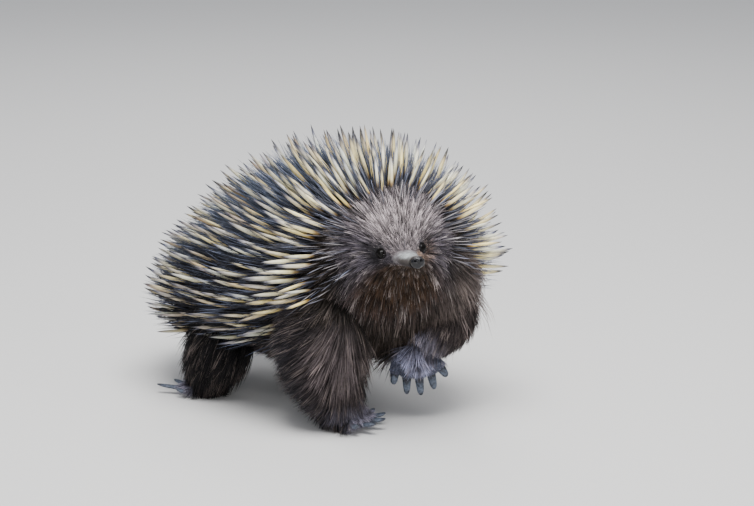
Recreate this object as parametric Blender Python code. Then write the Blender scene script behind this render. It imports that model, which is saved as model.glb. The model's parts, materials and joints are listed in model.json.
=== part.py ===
"""Short-beaked echidna, a life-size still model that walks with its left forefoot raised.

The animal faces -Y with +Z up and turns its head to its right. Sizes in the tables are millimetres.
"""
import math
import random
from collections import namedtuple

import bmesh
import bpy
import numpy as np
from mathutils import Matrix, Vector
from mathutils.bvhtree import BVHTree

MM = 0.001
GAP = 0.3 * MM
SEED = 7

# Driving sizes of the trunk and head. Each row is one upright section: its centre, the height of its
# widest level, its top and underside, its half width, its heading to the right of -Y and its roll.
Section = namedtuple("Section", "x y level top bottom half heading roll")
TRUNK = [
    Section(7, 168, 67, 72, 62, 5, 0, 0),
    Section(7, 164, 67, 84, 51, 26, 0, 0),
    Section(8, 150, 70, 104, 42, 48, 0, 0),
    Section(11, 118, 77, 136, 38, 68, 0, 0),
    Section(13, 70, 86, 175, 38, 77, 0, 0),
    Section(13, 15, 96, 194, 43, 77, 2, 0),
    Section(13, -27, 109, 200, 54, 75, 10, 0),
    Section(7, -58, 121, 202, 64, 71, 22, 0),
    Section(-3, -75, 135, 202, 80, 61, 29, 2),
    Section(-14, -89, 148, 199, 106, 46, 33, 4),
    Section(-21, -99, 156, 192, 127, 36, 34, 5),
    Section(-28, -109, 160, 181, 140, 26, 33, 5),
    Section(-33.5, -117.5, 160, 172, 148, 18, 32, 5),
    Section(-39, -126, 160, 166.5, 152, 11.5, 32, 5),
    Section(-52, -146, 163, 167.5, 157.5, 7.5, 32, 5),
    Section(-61, -160.5, 166, 171, 160, 6.8, 32, 5),
    Section(-64.5, -166, 166.8, 171.4, 161.4, 5.8, 32, 5),
]
NECK_CUT = 9
BEAK_CUT = 13
TRUNK_SIDES = 24

# The spines: distance between roots, depth of the root under the skin and half thickness. Each table
# gives values at sections counted from the rump: how low the spines grow on the right and on the left,
# as an angle under the horizontal, how steeply they stand on the flanks and on top of the back, how
# much they turn upwards, and their length. No spine points further down than its floor.
SPINE_SPACING = 15.3
SPINE_SINK = 6
SPINE_HALF = 1.85
SPINE_AT = (0, 1.5, 3, 5, 6, 7, 8, 8.6)
SPINE_EDGE_RIGHT = (72, 66, 55, 38, 28, 20, 10, 6)
SPINE_EDGE_LEFT = (72, 66, 55, 38, 24, 10, 0, -2)
SPINE_RISE = (0.9, 0.66, 0.60, 0.64, 0.76, 0.90, 1.0, 1.0)
SPINE_RISE_TOP = (0.9, 0.68, 0.72, 0.92, 0.97, 1.0, 1.0, 1.0)
SPINE_LIFT = (0.10, 0.22, 0.30, 0.34, 0.30, 0.16, 0.04, 0.0)
SPINE_LENGTH = (38, 42, 45, 46, 46, 43, 38, 32)
SPINE_FLOOR = -0.10
SPINE_WANDER = 0.11

# Locks of fur: distance between roots, half width, half thickness and length, all in millimetres.
Fur = namedtuple("Fur", "spacing half thick length rise")
CHEST_FUR = Fur(18, 6.5, 1.5, 28, 0.34)
CHEEK_FUR = Fur(17, 5.5, 1.2, 17, 0.26)
LEG_FUR = Fur(18, 7.0, 1.5, 28, 0.32)
LOCK_SINK = 5
ROOM = 0.5 * MM

# Eyes, ears and the holes of the beak.
EYE_SECTION = 12
EYE_ANGLE = 12
EYE_RADIUS = 4.3
EYE_SINK = 1.6
EAR_SECTION = 9.55
EAR_ANGLE = -4

# A leg's path runs from inside the trunk to the wrist or ankle: centre, half width, half depth.
Joint = namedtuple("Joint", "x y z across along")
LEGS = {
    "foreleg_right": [
        Joint(-34, -34, 108, 27, 27),
        Joint(-48, -41, 74, 30, 32),
        Joint(-48, -47, 44, 24, 26),
        Joint(-44, -53, 22, 17, 19),
        Joint(-42, -55, 13, 17, 18),
    ],
    "foreleg_left": [
        Joint(38, -62, 112, 26, 27),
        Joint(50, -80, 90, 26, 27),
        Joint(46, -89, 78, 22, 21),
        Joint(30, -86, 69, 18, 16),
        Joint(24, -84, 64, 19, 12),
    ],
    "hindleg_right": [
        Joint(-26, 84, 86, 26, 30),
        Joint(-43, 83, 60, 24, 31),
        Joint(-52, 90, 36, 19, 23),
        Joint(-55, 95, 18, 14, 16),
        Joint(-54, 96, 12, 13, 15),
    ],
    "hindleg_left": [
        Joint(48, 76, 86, 26, 30),
        Joint(65, 75, 60, 24, 31),
        Joint(74, 81, 36, 19, 23),
        Joint(76, 86, 18, 14, 16),
        Joint(76, 87, 12, 13, 15),
    ],
}
LEG_SIDES = 14

# A foot: the middle of its palm, the way its middle digit points and the line its digits stand along,
# the palm's half sizes, each digit's place on that line, its angle and its reach, and the claws'
# lengths, half width and half thickness.
Foot = namedtuple("Foot", "palm forward side half root fan reach claw broad thick")
FEET = {
    "foreleg_right": Foot(
        (-39, -59, 8), (0.5, -0.866, 0), (0.866, 0.5, 0), (18, 16, 10),
        (-9, -5, 0, 5, 9), (-46, -22, 0, 22, 46), (15, 18, 19, 18, 15), (8, 13, 14, 13, 9), 3.6, 2.4,
    ),
    "foreleg_left": Foot(
        (18, -82, 55), (0.05, -0.05, -1), (0.7071, -0.7071, 0), (19, 13, 9),
        (-14.5, -6.5, 2, 10.5, 15), (-12, -4, 2, 9, 34), (15, 19, 19, 16, 12), (9, 13, 14, 12, 8), 3.7, 2.7,
    ),
    "hindleg_right": Foot(
        (-54, 99, 6), (-0.26, 0.966, 0), (-0.966, -0.26, 0), (14, 16, 8),
        (-8, -4, 0, 4, 8), (-46, -24, 0, 22, 46), (14, 18, 20, 18, 15), (7, 10, 14, 24, 8), 2.8, 2.2,
    ),
    "hindleg_left": Foot(
        (76, 90, 6), (0.26, 0.966, 0), (-0.966, 0.26, 0), (14, 16, 8),
        (-8, -4, 0, 4, 8), (-46, -22, 0, 24, 46), (15, 18, 20, 18, 14), (8, 24, 14, 10, 7), 2.8, 2.2,
    ),
}
DIGIT_HALF = 1.35
DIGIT_SIDES = 6
FLOOR_SIZE = 500 * MM

# The stub of a tail under the rump.
TAIL_CENTRE = (7, 165, 50)
TAIL_HALF = (10, 17, 8)

COLOURS = {
    "coat": (0.10, 0.075, 0.06, 0.75),
    "beak": (0.16, 0.17, 0.18, 0.45),
    "eye": (0.01, 0.01, 0.012, 0.08),
    "claw": (0.16, 0.17, 0.20, 0.40),
    "spine": (0.62, 0.52, 0.34, 0.40),
}


def clear_scene():
    """Empties the scene that the script starts in."""
    for item in list(bpy.data.objects):
        bpy.data.objects.remove(item)


def make_materials():
    """One Principled material for each finish: colour and roughness."""
    made = {}
    for name, (red, green, blue, rough) in COLOURS.items():
        material = bpy.data.materials.new(name)
        material.use_nodes = True
        shader = material.node_tree.nodes["Principled BSDF"]
        shader.inputs["Base Color"].default_value = (red, green, blue, 1)
        shader.inputs["Roughness"].default_value = rough
        made[name] = material
    return made


def smooth(rows, t):
    """The row at t, a whole number at each given row, on a Catmull-Rom curve through the rows."""
    last = len(rows) - 1
    k = min(int(t), last - 1)
    before, here, ahead, after = (
        np.array(rows[min(max(j, 0), last)], float) for j in range(k - 1, k + 3)
    )
    q = t - k
    slope = (ahead - before) / 2
    slope_ahead = (after - here) / 2
    return (
        here * (1 + 2 * q) * (1 - q) ** 2
        + slope * q * (1 - q) ** 2
        + ahead * q * q * (3 - 2 * q)
        + slope_ahead * q * q * (q - 1)
    )


def trunk_point(t, angle, grow=0.0):
    """A point of the trunk at t along its sections. Angle 0 is the left side and 90 degrees the back."""
    x, y, level, top, bottom, half, heading, roll = smooth(TRUNK, t)
    turn = math.radians(angle)
    height = top - level if math.sin(turn) > 0 else level - bottom
    across = (half + grow) * math.cos(turn)
    rise = (height + grow) * math.sin(turn)
    lean = math.radians(roll)
    across, rise = (
        across * math.cos(lean) - rise * math.sin(lean),
        across * math.sin(lean) + rise * math.cos(lean),
    )
    way = math.radians(heading)
    return MM * Vector((x + across * math.cos(way), y - across * math.sin(way), level + rise))


def forward_at(t):
    """The way the trunk heads at t."""
    way = math.radians(smooth(TRUNK, t)[6])
    return Vector((-math.sin(way), -math.cos(way), 0))


def trunk_normal(t, angle):
    """The outward normal of the trunk's skin."""
    along = trunk_point(t + 0.02, angle) - trunk_point(t - 0.02, angle)
    around = trunk_point(t, angle + 1) - trunk_point(t, angle - 1)
    return along.cross(around).normalized() * -1


def trunk_ring(t, grow=0.0, shift=0.0):
    """One ring of the trunk, grown outward and moved forward by shift."""
    angles = [360 * k / TRUNK_SIDES for k in range(TRUNK_SIDES)]
    return [trunk_point(t, a, grow) + forward_at(t) * shift for a in angles]


def loft(name, rings, tip=None):
    """A closed mesh through rings of the same count. The first end is flat, the last flat or a point."""
    form = bmesh.new()
    rows = [[form.verts.new(point) for point in ring] for ring in rings]
    for low, high in zip(rows, rows[1:]):
        for k in range(len(low)):
            form.faces.new((low[k - 1], low[k], high[k], high[k - 1]))
    form.faces.new(rows[0])
    if tip is None:
        form.faces.new(rows[-1])
    else:
        point = form.verts.new(tip)
        for k in range(len(rows[-1])):
            form.faces.new((rows[-1][k - 1], rows[-1][k], point))
    bmesh.ops.recalc_face_normals(form, faces=form.faces)
    bmesh.ops.triangulate(form, faces=form.faces, quad_method="FIXED")
    return finish_form(name, form)


def finish_form(name, form):
    """Makes an object from a finished bmesh."""
    mesh = bpy.data.meshes.new(name)
    form.to_mesh(mesh)
    form.free()
    made = bpy.data.objects.new(name, mesh)
    bpy.context.scene.collection.objects.link(made)
    return made


def oval_ring(centre, across, up, sides):
    """A flat oval ring round centre, from the two half-axis vectors."""
    turns = [2 * math.pi * k / sides for k in range(sides)]
    return [centre + across * math.cos(a) + up * math.sin(a) for a in turns]


def ball(name, centre, half, segments=16, rings=10, turn=None):
    """An ellipsoid, with its half sizes in millimetres."""
    form = bmesh.new()
    bmesh.ops.create_uvsphere(form, u_segments=segments, v_segments=rings, radius=1)
    bmesh.ops.scale(form, vec=MM * Vector(half), verts=form.verts)
    if turn is not None:
        bmesh.ops.rotate(form, matrix=turn, verts=form.verts)
    bmesh.ops.translate(form, vec=centre, verts=form.verts)
    return finish_form(name, form)


def combine(target, others, operation, solver="EXACT"):
    """Joins the other objects to the target or cuts them from it, and removes them."""
    group = bpy.data.collections.new("operands")
    bpy.context.scene.collection.children.link(group)
    for other in others:
        bpy.context.scene.collection.objects.unlink(other)
        group.objects.link(other)
    modifier = target.modifiers.new("combine", "BOOLEAN")
    modifier.operation = operation
    modifier.solver = solver
    modifier.operand_type = "COLLECTION"
    modifier.collection = group
    bpy.context.view_layer.objects.active = target
    bpy.ops.object.modifier_apply(modifier=modifier.name)
    for other in others:
        bpy.data.objects.remove(other)
    bpy.data.collections.remove(group)
    keep_largest(target)


def keep_largest(target):
    """Leaves the target only its largest closed surface."""
    form = bmesh.new()
    form.from_mesh(target.data)
    left = set(form.faces)
    islands = []
    while left:
        island = [left.pop()]
        for face in island:
            for edge in face.edges:
                near = [other for other in edge.link_faces if other in left]
                left.difference_update(near)
                island.extend(near)
        islands.append(island)
    largest = max(islands, key=lambda faces: sum(face.calc_area() for face in faces))
    kept = set(largest)
    spare = [face for face in form.faces if face not in kept]
    bmesh.ops.delete(form, geom=spare, context="FACES")
    form.to_mesh(target.data)
    form.free()


def steps(first, last, count):
    """Evenly spaced values from first to last."""
    return [first + (last - first) * k / count for k in range(count + 1)]


def make_trunk(name, grow=0.0):
    """The bare trunk from the rump to the plane of the neck."""
    rings = [trunk_ring(t, grow) for t in steps(0, NECK_CUT, 2 * NECK_CUT)]
    return loft(name, rings)


def trunk_room():
    """The trunk with the gap that its neighbours keep, used to cut them."""
    return make_trunk("trunk_room", 1.3 * GAP / MM)


def eye_place(side):
    """Centre of one eyeball and the outward way there. Side is 1 on the left and -1 on the right."""
    angle = EYE_ANGLE if side > 0 else 180 - EYE_ANGLE
    out = trunk_normal(EYE_SECTION, angle)
    return trunk_point(EYE_SECTION, angle) - out * EYE_SINK * MM, out


def facing(out):
    """The turn that brings +Z to the outward way."""
    return out.to_track_quat("Z", "Y").to_matrix()


def make_head():
    """The furred head in front of the neck's plane, with sockets and lids."""
    rings = [trunk_ring(NECK_CUT, shift=GAP)]
    rings += [trunk_ring(t) for t in steps(NECK_CUT + 0.5, BEAK_CUT, 2 * (BEAK_CUT - NECK_CUT) - 1)]
    head = loft("head", rings)
    lids = []
    sockets = []
    for side in (1, -1):
        centre, out = eye_place(side)
        lid = ball("lid", centre + out * 0.2 * MM, (6.6, 5.8, 3.2), 12, 6, facing(out))
        lids.append(lid)
        sockets.append(ball("socket", centre, [EYE_RADIUS + 0.35] * 3, 12, 8))
    combine(head, lids, "UNION")
    combine(head, sockets, "DIFFERENCE")
    return head


def make_eyes():
    """The two eyeballs, each loose in its socket by the gap."""
    eyes = []
    for name, side in (("eye_left", 1), ("eye_right", -1)):
        centre, _ = eye_place(side)
        eyes.append(ball(name, centre, [EYE_RADIUS] * 3, 12, 8))
    return eyes


def make_ears():
    """Each ear is a low upright rim of skin round a slit, behind the eye."""
    ears = []
    for name, side in (("ear_left", 1), ("ear_right", -1)):
        angle = EAR_ANGLE if side > 0 else 180 - EAR_ANGLE
        place = trunk_point(EAR_SECTION, angle)
        out = trunk_normal(EAR_SECTION, angle)
        ear = ball(name, place, (3.4, 8.5, 3.4), 10, 6, facing(out))
        cup = ball("cup", place + out * 3.0 * MM, (1.6, 6.2, 2.4), 8, 6, facing(out))
        rings = [trunk_ring(t, 0.4) for t in steps(NECK_CUT - 1, BEAK_CUT - 1, 8)]
        combine(ear, [cup], "DIFFERENCE", "MANIFOLD")
        combine(ear, [loft("head_room", rings)], "DIFFERENCE", "MANIFOLD")
        ears.append(ear)
    return ears


def make_beak():
    """The bare beak, with a nostril on each side of its tip and the slit of the mouth below."""
    last = len(TRUNK) - 1
    rings = [trunk_ring(BEAK_CUT, shift=GAP)]
    rings += [trunk_ring(t) for t in steps(BEAK_CUT + 0.6, last, last - BEAK_CUT)]
    tip = MM * Vector(TRUNK[-1][:3]) + forward_at(last) * 2.2 * MM
    beak = loft("beak", rings, tip)
    nostrils = []
    for angle in (62, 118):
        place = trunk_point(last - 0.35, angle)
        nostrils.append(ball("nostril", place, (1.0, 1.5, 1.0), 8, 6))
    mouth_end = trunk_point(last, -90) + forward_at(last) * 1.5 * MM
    mouth = ball("mouth", mouth_end, (4.0, 5.5, 0.7), 12, 6)
    combine(beak, nostrils + [mouth], "DIFFERENCE")
    return beak


def limb_rings(path, ts, sides, shift=0.0, grow=0.0):
    """Rings square to a limb's path. The first half axis is across the body, the second along it."""
    rings = []
    for t in ts:
        x, y, z, across, along = smooth(path, t)
        ahead = smooth(path, min(t + 0.05, len(path) - 1))[:3]
        behind = smooth(path, max(t - 0.05, 0))[:3]
        way = Vector(ahead - behind).normalized()
        fore = way.cross(Vector((1, 0, 0))).normalized()
        wide = fore.cross(way)
        centre = MM * Vector((x, y, z)) + way * shift
        across = across * MM + grow
        along = along * MM + grow
        rings.append(oval_ring(centre, wide * across, fore * along, sides))
    return rings


def leg_steps(path):
    """Where a leg's rings stand along its path, the last one half a joint above its end."""
    return steps(0, len(path) - 1.5, 6)


def trunk_spot(t, angle):
    """A point of the trunk's skin, its outward normal and the way back along the skin."""
    back = trunk_point(t - 0.02, angle) - trunk_point(t + 0.02, angle)
    return trunk_point(t, angle), trunk_normal(t, angle), back.normalized()


def limb_spot(path):
    """A function that gives the same three for a point of a limb, with the way down the limb."""

    def spot(t, angle):
        x, y, z, across, along = smooth(path, t)
        way = Vector(smooth(path, t + 0.05)[:3] - smooth(path, t - 0.05)[:3]).normalized()
        fore = way.cross(Vector((1, 0, 0))).normalized()
        wide = fore.cross(way)
        turn = math.radians(angle)
        out = wide * across * math.cos(turn) + fore * along * math.sin(turn)
        return MM * (Vector((x, y, z)) + out), out.normalized(), way

    return spot


def scatter(spot, first, last, low, high, spacing, tries):
    """Evenly mixed spots between two sections and, at each, between two angles."""
    kept = []
    for _ in range(tries):
        t = random.uniform(first, last)
        angle = random.uniform(low(t), high(t))
        place = spot(t, angle)
        if all((place[0] - other[1][0]).length > spacing * MM for other in kept):
            kept.append(((t, angle), place))
    return kept


def spine(t, root, out, back):
    """A four-sided spine, thickest a third of the way out, that leans back from the skin."""
    flank = np.interp(t, SPINE_AT, SPINE_RISE)
    top = np.interp(t, SPINE_AT, SPINE_RISE_TOP)
    rise = flank + (top - flank) * np.interp(out.z, (0.15, 0.75), (0, 1))
    lift = np.interp(t, SPINE_AT, SPINE_LIFT) * np.interp(out.z, (-0.9, -0.1, 0.35, 0.9), (0, 1, 1, 0.1))
    wander = Vector([random.uniform(-1, 1) * SPINE_WANDER for _ in range(3)])
    way = out * rise + back * math.sqrt(max(0.0, 1.1 - rise * rise)) + wander
    way.z = max(way.z + lift, SPINE_FLOOR)
    way.normalize()
    length = np.interp(t, SPINE_AT, SPINE_LENGTH) * random.uniform(0.92, 1.05) * MM
    wide = way.cross(back + out * 0.3).normalized()
    up = wide.cross(way)
    rings = []
    for place, size in ((-SPINE_SINK * MM, 0.62), (0.35 * length, 1.0)):
        half = SPINE_HALF * size * MM
        rings.append(oval_ring(root + way * place, wide * half, up * half, 4))
    return loft("spine", rings, root + way * length)


def lock(fur, root, out, along):
    """A flat tapered lock of fur that leaves the skin and bends over to lie along it."""
    wide = along.cross(out).normalized()
    length = fur.length * random.uniform(0.85, 1.1)
    sway = wide * random.uniform(-0.25, 0.25)
    points = []
    for share in (0.0, 0.35, 0.7, 1.0):
        rise = fur.rise * length * share * (1 - 0.55 * share)
        points.append(root + MM * (along * length * share + out * rise + sway * length * share))
    points[0] -= (out * 0.9 + along * 0.3) * LOCK_SINK * MM
    rings = []
    for point, size in zip(points[:-1], (0.8, 1.0, 0.62)):
        half = fur.half * size * MM
        rings.append(oval_ring(point, wide * half, out * fur.thick * size * MM, 4))
    return loft("lock", rings, points[-1])


def tree_of(node):
    """The node's surface, ready to be asked what is near."""
    form = bmesh.new()
    form.from_mesh(node.data)
    tree = BVHTree.FromBMesh(form)
    form.free()
    return tree


def clear_of(form, trees):
    """Whether a spine or lock keeps clear of the other nodes, and above the ground."""
    points = [vertex.co for vertex in form.data.vertices]
    if min(point.z for point in points) < ROOM:
        return False
    own = tree_of(form)
    for tree in trees:
        if own.overlap(tree) or any(tree.find_nearest(point, ROOM)[0] for point in points):
            return False
    return True


def grow_coat(node, forms, others):
    """Fuses to a node those spines and locks that keep clear of the other nodes."""
    trees = [tree_of(other) for other in others]
    kept = []
    for form in forms:
        if clear_of(form, trees):
            kept.append(form)
        else:
            bpy.data.objects.remove(form)
    combine(node, kept, "UNION", "MANIFOLD")


def torso_coat():
    """Spines over the back and flanks, and locks of fur on the chest and belly."""

    def left(t):
        return -np.interp(t, SPINE_AT, SPINE_EDGE_LEFT)

    def right(t):
        return 180 + np.interp(t, SPINE_AT, SPINE_EDGE_RIGHT)

    spines = scatter(trunk_spot, 0.05, 8.6, left, right, SPINE_SPACING, 9000)
    forms = [spine(t, *place) for (t, _), place in spines]
    locks = scatter(trunk_spot, 0.6, 8.5, lambda t: right(t) + 4, lambda t: left(t) + 356,
                    CHEST_FUR.spacing, 2500)
    for _, (root, out, back) in locks:
        hang = (back + Vector((0, 0, -0.35))).normalized()
        forms.append(lock(CHEST_FUR, root, out, hang))
    return forms


def head_coat():
    """Short locks on the cheeks, crown and throat that point back from the beak."""
    spots = scatter(trunk_spot, 9.9, 12.0, lambda t: 0, lambda t: 360, CHEEK_FUR.spacing, 900)
    return [lock(CHEEK_FUR, *place) for _, place in spots]


def leg_coat(name):
    """Locks that hang down a leg."""
    path = LEGS[name]
    spots = scatter(
        limb_spot(path), 0.7, len(path) - 2.1, lambda t: 0, lambda t: 360, LEG_FUR.spacing, 1200
    )
    return [lock(LEG_FUR, *place) for _, place in spots]


def make_leg(name):
    """A leg from the trunk's side to the wrist or ankle."""
    path = LEGS[name]
    leg = loft(name, limb_rings(path, leg_steps(path), LEG_SIDES))
    combine(leg, [trunk_room()], "DIFFERENCE")
    return leg


def make_foot(name):
    """A foot below its leg: ankle, palm and five digits in one piece."""
    path = LEGS[name]
    foot = FEET[name]
    end = len(path) - 1
    ankle = loft(name.replace("leg", "foot"), limb_rings(path, [end - 0.7, end], LEG_SIDES))
    palm = MM * Vector(foot.palm)
    forward = Vector(foot.forward).normalized()
    side = Vector(foot.side).normalized()
    turn = Matrix((side, forward, side.cross(forward))).transposed()
    pieces = [ball("palm", palm, foot.half, 12, 6, turn)]
    for number, reach in enumerate(foot.reach):
        root, way, wide, up = digit_frame(foot, number)
        rings = []
        for place, size in ((2, 1.15), (reach, 1.0)):
            half = DIGIT_HALF * foot.broad * size * MM
            rings.append(oval_ring(root + way * place * MM, wide * half, up * half, DIGIT_SIDES))
        pieces.append(loft("digit", rings))
    combine(ankle, pieces, "UNION", "MANIFOLD")
    room_rings = limb_rings(path, leg_steps(path), LEG_SIDES, GAP, 1.5 * GAP)
    combine(ankle, [loft("leg_room", room_rings), trunk_room()], "DIFFERENCE", "MANIFOLD")
    if foot.palm[2] < 20:
        combine(ankle, [floor_block()], "DIFFERENCE", "MANIFOLD")
    return ankle


def floor_block():
    """A block whose top is the plane that the soles rest on."""
    form = bmesh.new()
    bmesh.ops.create_cube(form, size=FLOOR_SIZE)
    bmesh.ops.translate(form, vec=(0, 0, -FLOOR_SIZE / 2), verts=form.verts)
    return finish_form("floor", form)


def digit_frame(foot, number):
    """Where a digit starts, the way it points, its width and its upper side."""
    forward = Vector(foot.forward).normalized()
    side = Vector(foot.side).normalized()
    up = side.cross(forward)
    turn = math.radians(foot.fan[number])
    way = forward * math.cos(turn) + side * math.sin(turn)
    return MM * (Vector(foot.palm) + side * foot.root[number]), way, up.cross(way), up


def make_claws(name):
    """Five blunt, slightly bent claws in front of the digits."""
    foot = FEET[name]
    limb = name.replace("leg", "foot")
    claws = []
    for number, (reach, length) in enumerate(zip(foot.reach, foot.claw)):
        root, way, wide, up = digit_frame(foot, number)
        rings = []
        for share, size, drop in ((0, 1, 0), (0.5, 0.95, 0.5), (0.85, 0.7, 1.6), (1, 0.35, 2.3)):
            centre = root + way * ((reach + length * share) * MM + GAP) - up * drop * MM
            broad = wide * foot.broad * size * MM
            rings.append(oval_ring(centre, broad, up * foot.thick * size * MM, DIGIT_SIDES))
        claws.append(loft(f"{limb}_claw_{number + 1}", rings))
    return claws


def make_tail():
    """The short stub under the rump."""
    tail = ball("tail", MM * Vector(TAIL_CENTRE), TAIL_HALF, 12, 8)
    combine(tail, [trunk_room()], "DIFFERENCE")
    return tail


def stand_on_ground(nodes):
    """Hangs the nodes on an empty whose place puts the origin under the middle of the animal."""
    corners = np.array([vertex.co for node in nodes for vertex in node.data.vertices])
    low = corners.min(axis=0)
    high = corners.max(axis=0)
    stance = bpy.data.objects.new("stance", None)
    stance.location = (-(low[0] + high[0]) / 2, -(low[1] + high[1]) / 2, -low[2])
    bpy.context.scene.collection.objects.link(stance)
    for node in nodes:
        node.parent = stance


def main():
    random.seed(SEED)
    clear_scene()
    materials = make_materials()
    torso = make_trunk("torso")
    head = make_head()
    tail = make_tail()
    ears = make_ears()
    eyes = make_eyes()
    beak = make_beak()
    legs = {name: make_leg(name) for name in LEGS}
    feet = [make_foot(name) for name in LEGS]
    claws = [claw for name in LEGS for claw in make_claws(name)]
    bare = [tail, beak] + ears + eyes + feet + claws
    for name, leg in legs.items():
        others = [other for other in legs.values() if other is not leg]
        grow_coat(leg, leg_coat(name), bare + [torso, head] + others)
    grow_coat(torso, torso_coat(), bare + [head] + list(legs.values()))
    grow_coat(head, head_coat(), bare + [torso] + list(legs.values()))
    finishes = {
        "spine": [torso],
        "coat": [head, tail] + ears + list(legs.values()) + feet,
        "eye": eyes,
        "beak": [beak],
        "claw": claws,
    }
    animal = bpy.data.collections.new("echidna")
    bpy.context.scene.collection.children.link(animal)
    nodes = []
    for finish, made in finishes.items():
        for node in made:
            node.data.materials.clear()
            node.data.materials.append(materials[finish])
            node.data.shade_smooth()
            bpy.context.scene.collection.objects.unlink(node)
            animal.objects.link(node)
            nodes.append(node)
    stand_on_ground(nodes)


main()
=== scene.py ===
# %% [markdown]
# # A short-beaked echidna, walking with one forefoot raised
#
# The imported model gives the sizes, the places and the spines' reach. This lesson dresses it: one skin
# over trunk, head and legs, a bare beak, wet eyes, horn claws, and a coat of spines, bristles and fur
# that is all real mesh. We start by loading the frame and keeping its box, so that the dressed animal
# can be compared with it at the end.

# %% Load the frame
import json
import math
from collections import namedtuple

import bmesh
import bpy
import numpy as np
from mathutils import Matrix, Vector, noise
from mathutils.kdtree import KDTree

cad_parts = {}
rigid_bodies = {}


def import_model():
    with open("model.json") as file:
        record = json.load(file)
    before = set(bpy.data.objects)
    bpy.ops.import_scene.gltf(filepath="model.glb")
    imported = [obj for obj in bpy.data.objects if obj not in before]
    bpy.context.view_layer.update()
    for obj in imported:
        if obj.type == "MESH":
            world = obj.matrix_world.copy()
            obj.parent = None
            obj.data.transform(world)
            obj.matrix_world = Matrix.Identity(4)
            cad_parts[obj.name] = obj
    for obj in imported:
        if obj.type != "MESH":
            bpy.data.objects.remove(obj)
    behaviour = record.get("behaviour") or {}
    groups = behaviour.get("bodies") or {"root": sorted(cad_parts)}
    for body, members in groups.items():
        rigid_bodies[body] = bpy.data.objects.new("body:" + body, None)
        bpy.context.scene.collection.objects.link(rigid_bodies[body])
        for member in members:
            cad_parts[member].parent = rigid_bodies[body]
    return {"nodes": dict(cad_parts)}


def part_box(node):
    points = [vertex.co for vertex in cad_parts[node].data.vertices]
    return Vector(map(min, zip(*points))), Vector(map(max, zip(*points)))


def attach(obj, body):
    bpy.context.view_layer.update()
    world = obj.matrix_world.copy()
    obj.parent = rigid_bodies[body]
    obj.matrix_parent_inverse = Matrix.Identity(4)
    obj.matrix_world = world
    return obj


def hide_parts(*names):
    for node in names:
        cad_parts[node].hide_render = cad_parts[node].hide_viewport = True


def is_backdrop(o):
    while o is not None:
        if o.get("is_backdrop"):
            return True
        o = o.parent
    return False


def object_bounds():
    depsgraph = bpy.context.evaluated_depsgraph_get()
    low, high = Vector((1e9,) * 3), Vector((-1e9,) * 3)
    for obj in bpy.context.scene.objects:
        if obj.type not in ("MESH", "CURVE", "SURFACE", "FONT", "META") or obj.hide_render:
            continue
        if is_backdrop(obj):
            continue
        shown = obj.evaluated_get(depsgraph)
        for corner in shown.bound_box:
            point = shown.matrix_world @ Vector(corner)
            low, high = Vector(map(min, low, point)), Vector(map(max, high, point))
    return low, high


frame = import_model()
cad_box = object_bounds()
MM = 0.001
SEED = 11
chance = np.random.default_rng(SEED)
print("solids' box in mm:", [[round(v / MM) for v in corner] for corner in cad_box])

# %% [markdown]
# ## Small helpers
#
# Blender's operators act on whatever is selected, and the loaded nodes start out selected. So every
# operator here is called after one object has been picked and all the others let go.


# %% Helpers for picking and finishing
def let_go():
    """Nothing is selected and nothing is active."""
    for item in bpy.context.view_layer.objects.selected:
        item.select_set(False)


def pick(piece, *others):
    """Only these objects are selected, and the first one is active."""
    let_go()
    for item in (piece,) + others:
        item.select_set(True)
    bpy.context.view_layer.objects.active = piece
    return piece


def bake_in(piece):
    """Applies the piece's modifiers in order, then its place, turn and scale."""
    pick(piece)
    for modifier in list(piece.modifiers):
        bpy.ops.object.modifier_apply(modifier=modifier.name)
    bpy.ops.object.transform_apply(location=True, rotation=True, scale=True)
    return piece


def middle(node):
    """The middle of a solid's box."""
    low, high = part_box(node)
    return (low + high) / 2


def mix(a, b, share):
    """Goes from a to b as share goes from 0 to 1."""
    return a + (b - a) * share


def ramp(value, low, high):
    """A soft step from 0 at low to 1 at high, for single numbers and for arrays."""
    share = np.clip((np.asarray(value, float) - low) / (high - low), 0, 1)
    return share * share * (3 - 2 * share)


# %% [markdown]
# ## The body's driving sizes
#
# An echidna's trunk is a lofted barrel. It runs from the rump to the tip of the beak through upright
# sections, each with a centre, the height of its widest level, its top and underside, its half width
# and the way it heads. The legs are swept ovals along a short path. These are the same driving sizes
# that the solids have, in millimetres, so the skin lies exactly where the solids' cores do.

# %% Sections of the trunk and paths of the legs
TRUNK = [  # x, y, level, top, underside, half width, heading to the right of -Y, roll
    (7, 168, 67, 72, 62, 5, 0, 0),
    (7, 164, 67, 84, 51, 26, 0, 0),
    (8, 150, 70, 104, 42, 48, 0, 0),
    (11, 118, 77, 136, 38, 68, 0, 0),
    (13, 70, 86, 175, 38, 77, 0, 0),
    (13, 15, 96, 194, 43, 77, 2, 0),
    (13, -27, 109, 200, 54, 75, 10, 0),
    (7, -58, 121, 202, 64, 71, 22, 0),
    (-3, -75, 135, 202, 80, 61, 29, 2),
    (-14, -89, 148, 199, 106, 46, 33, 4),
    (-21, -99, 156, 192, 127, 36, 34, 5),
    (-28, -109, 160, 181, 140, 26, 33, 5),
    (-33.5, -117.5, 160, 172, 148, 18, 32, 5),
    (-39, -126, 160, 166.5, 152, 11.5, 32, 5),
    (-52, -146, 163, 167.5, 157.5, 7.5, 32, 5),
    (-61, -160.5, 166, 171, 160, 6.8, 32, 5),
    (-64.5, -166, 166.8, 171.4, 161.4, 5.8, 32, 5),
]
BEAK = 13
TIP = len(TRUNK) - 1

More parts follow.
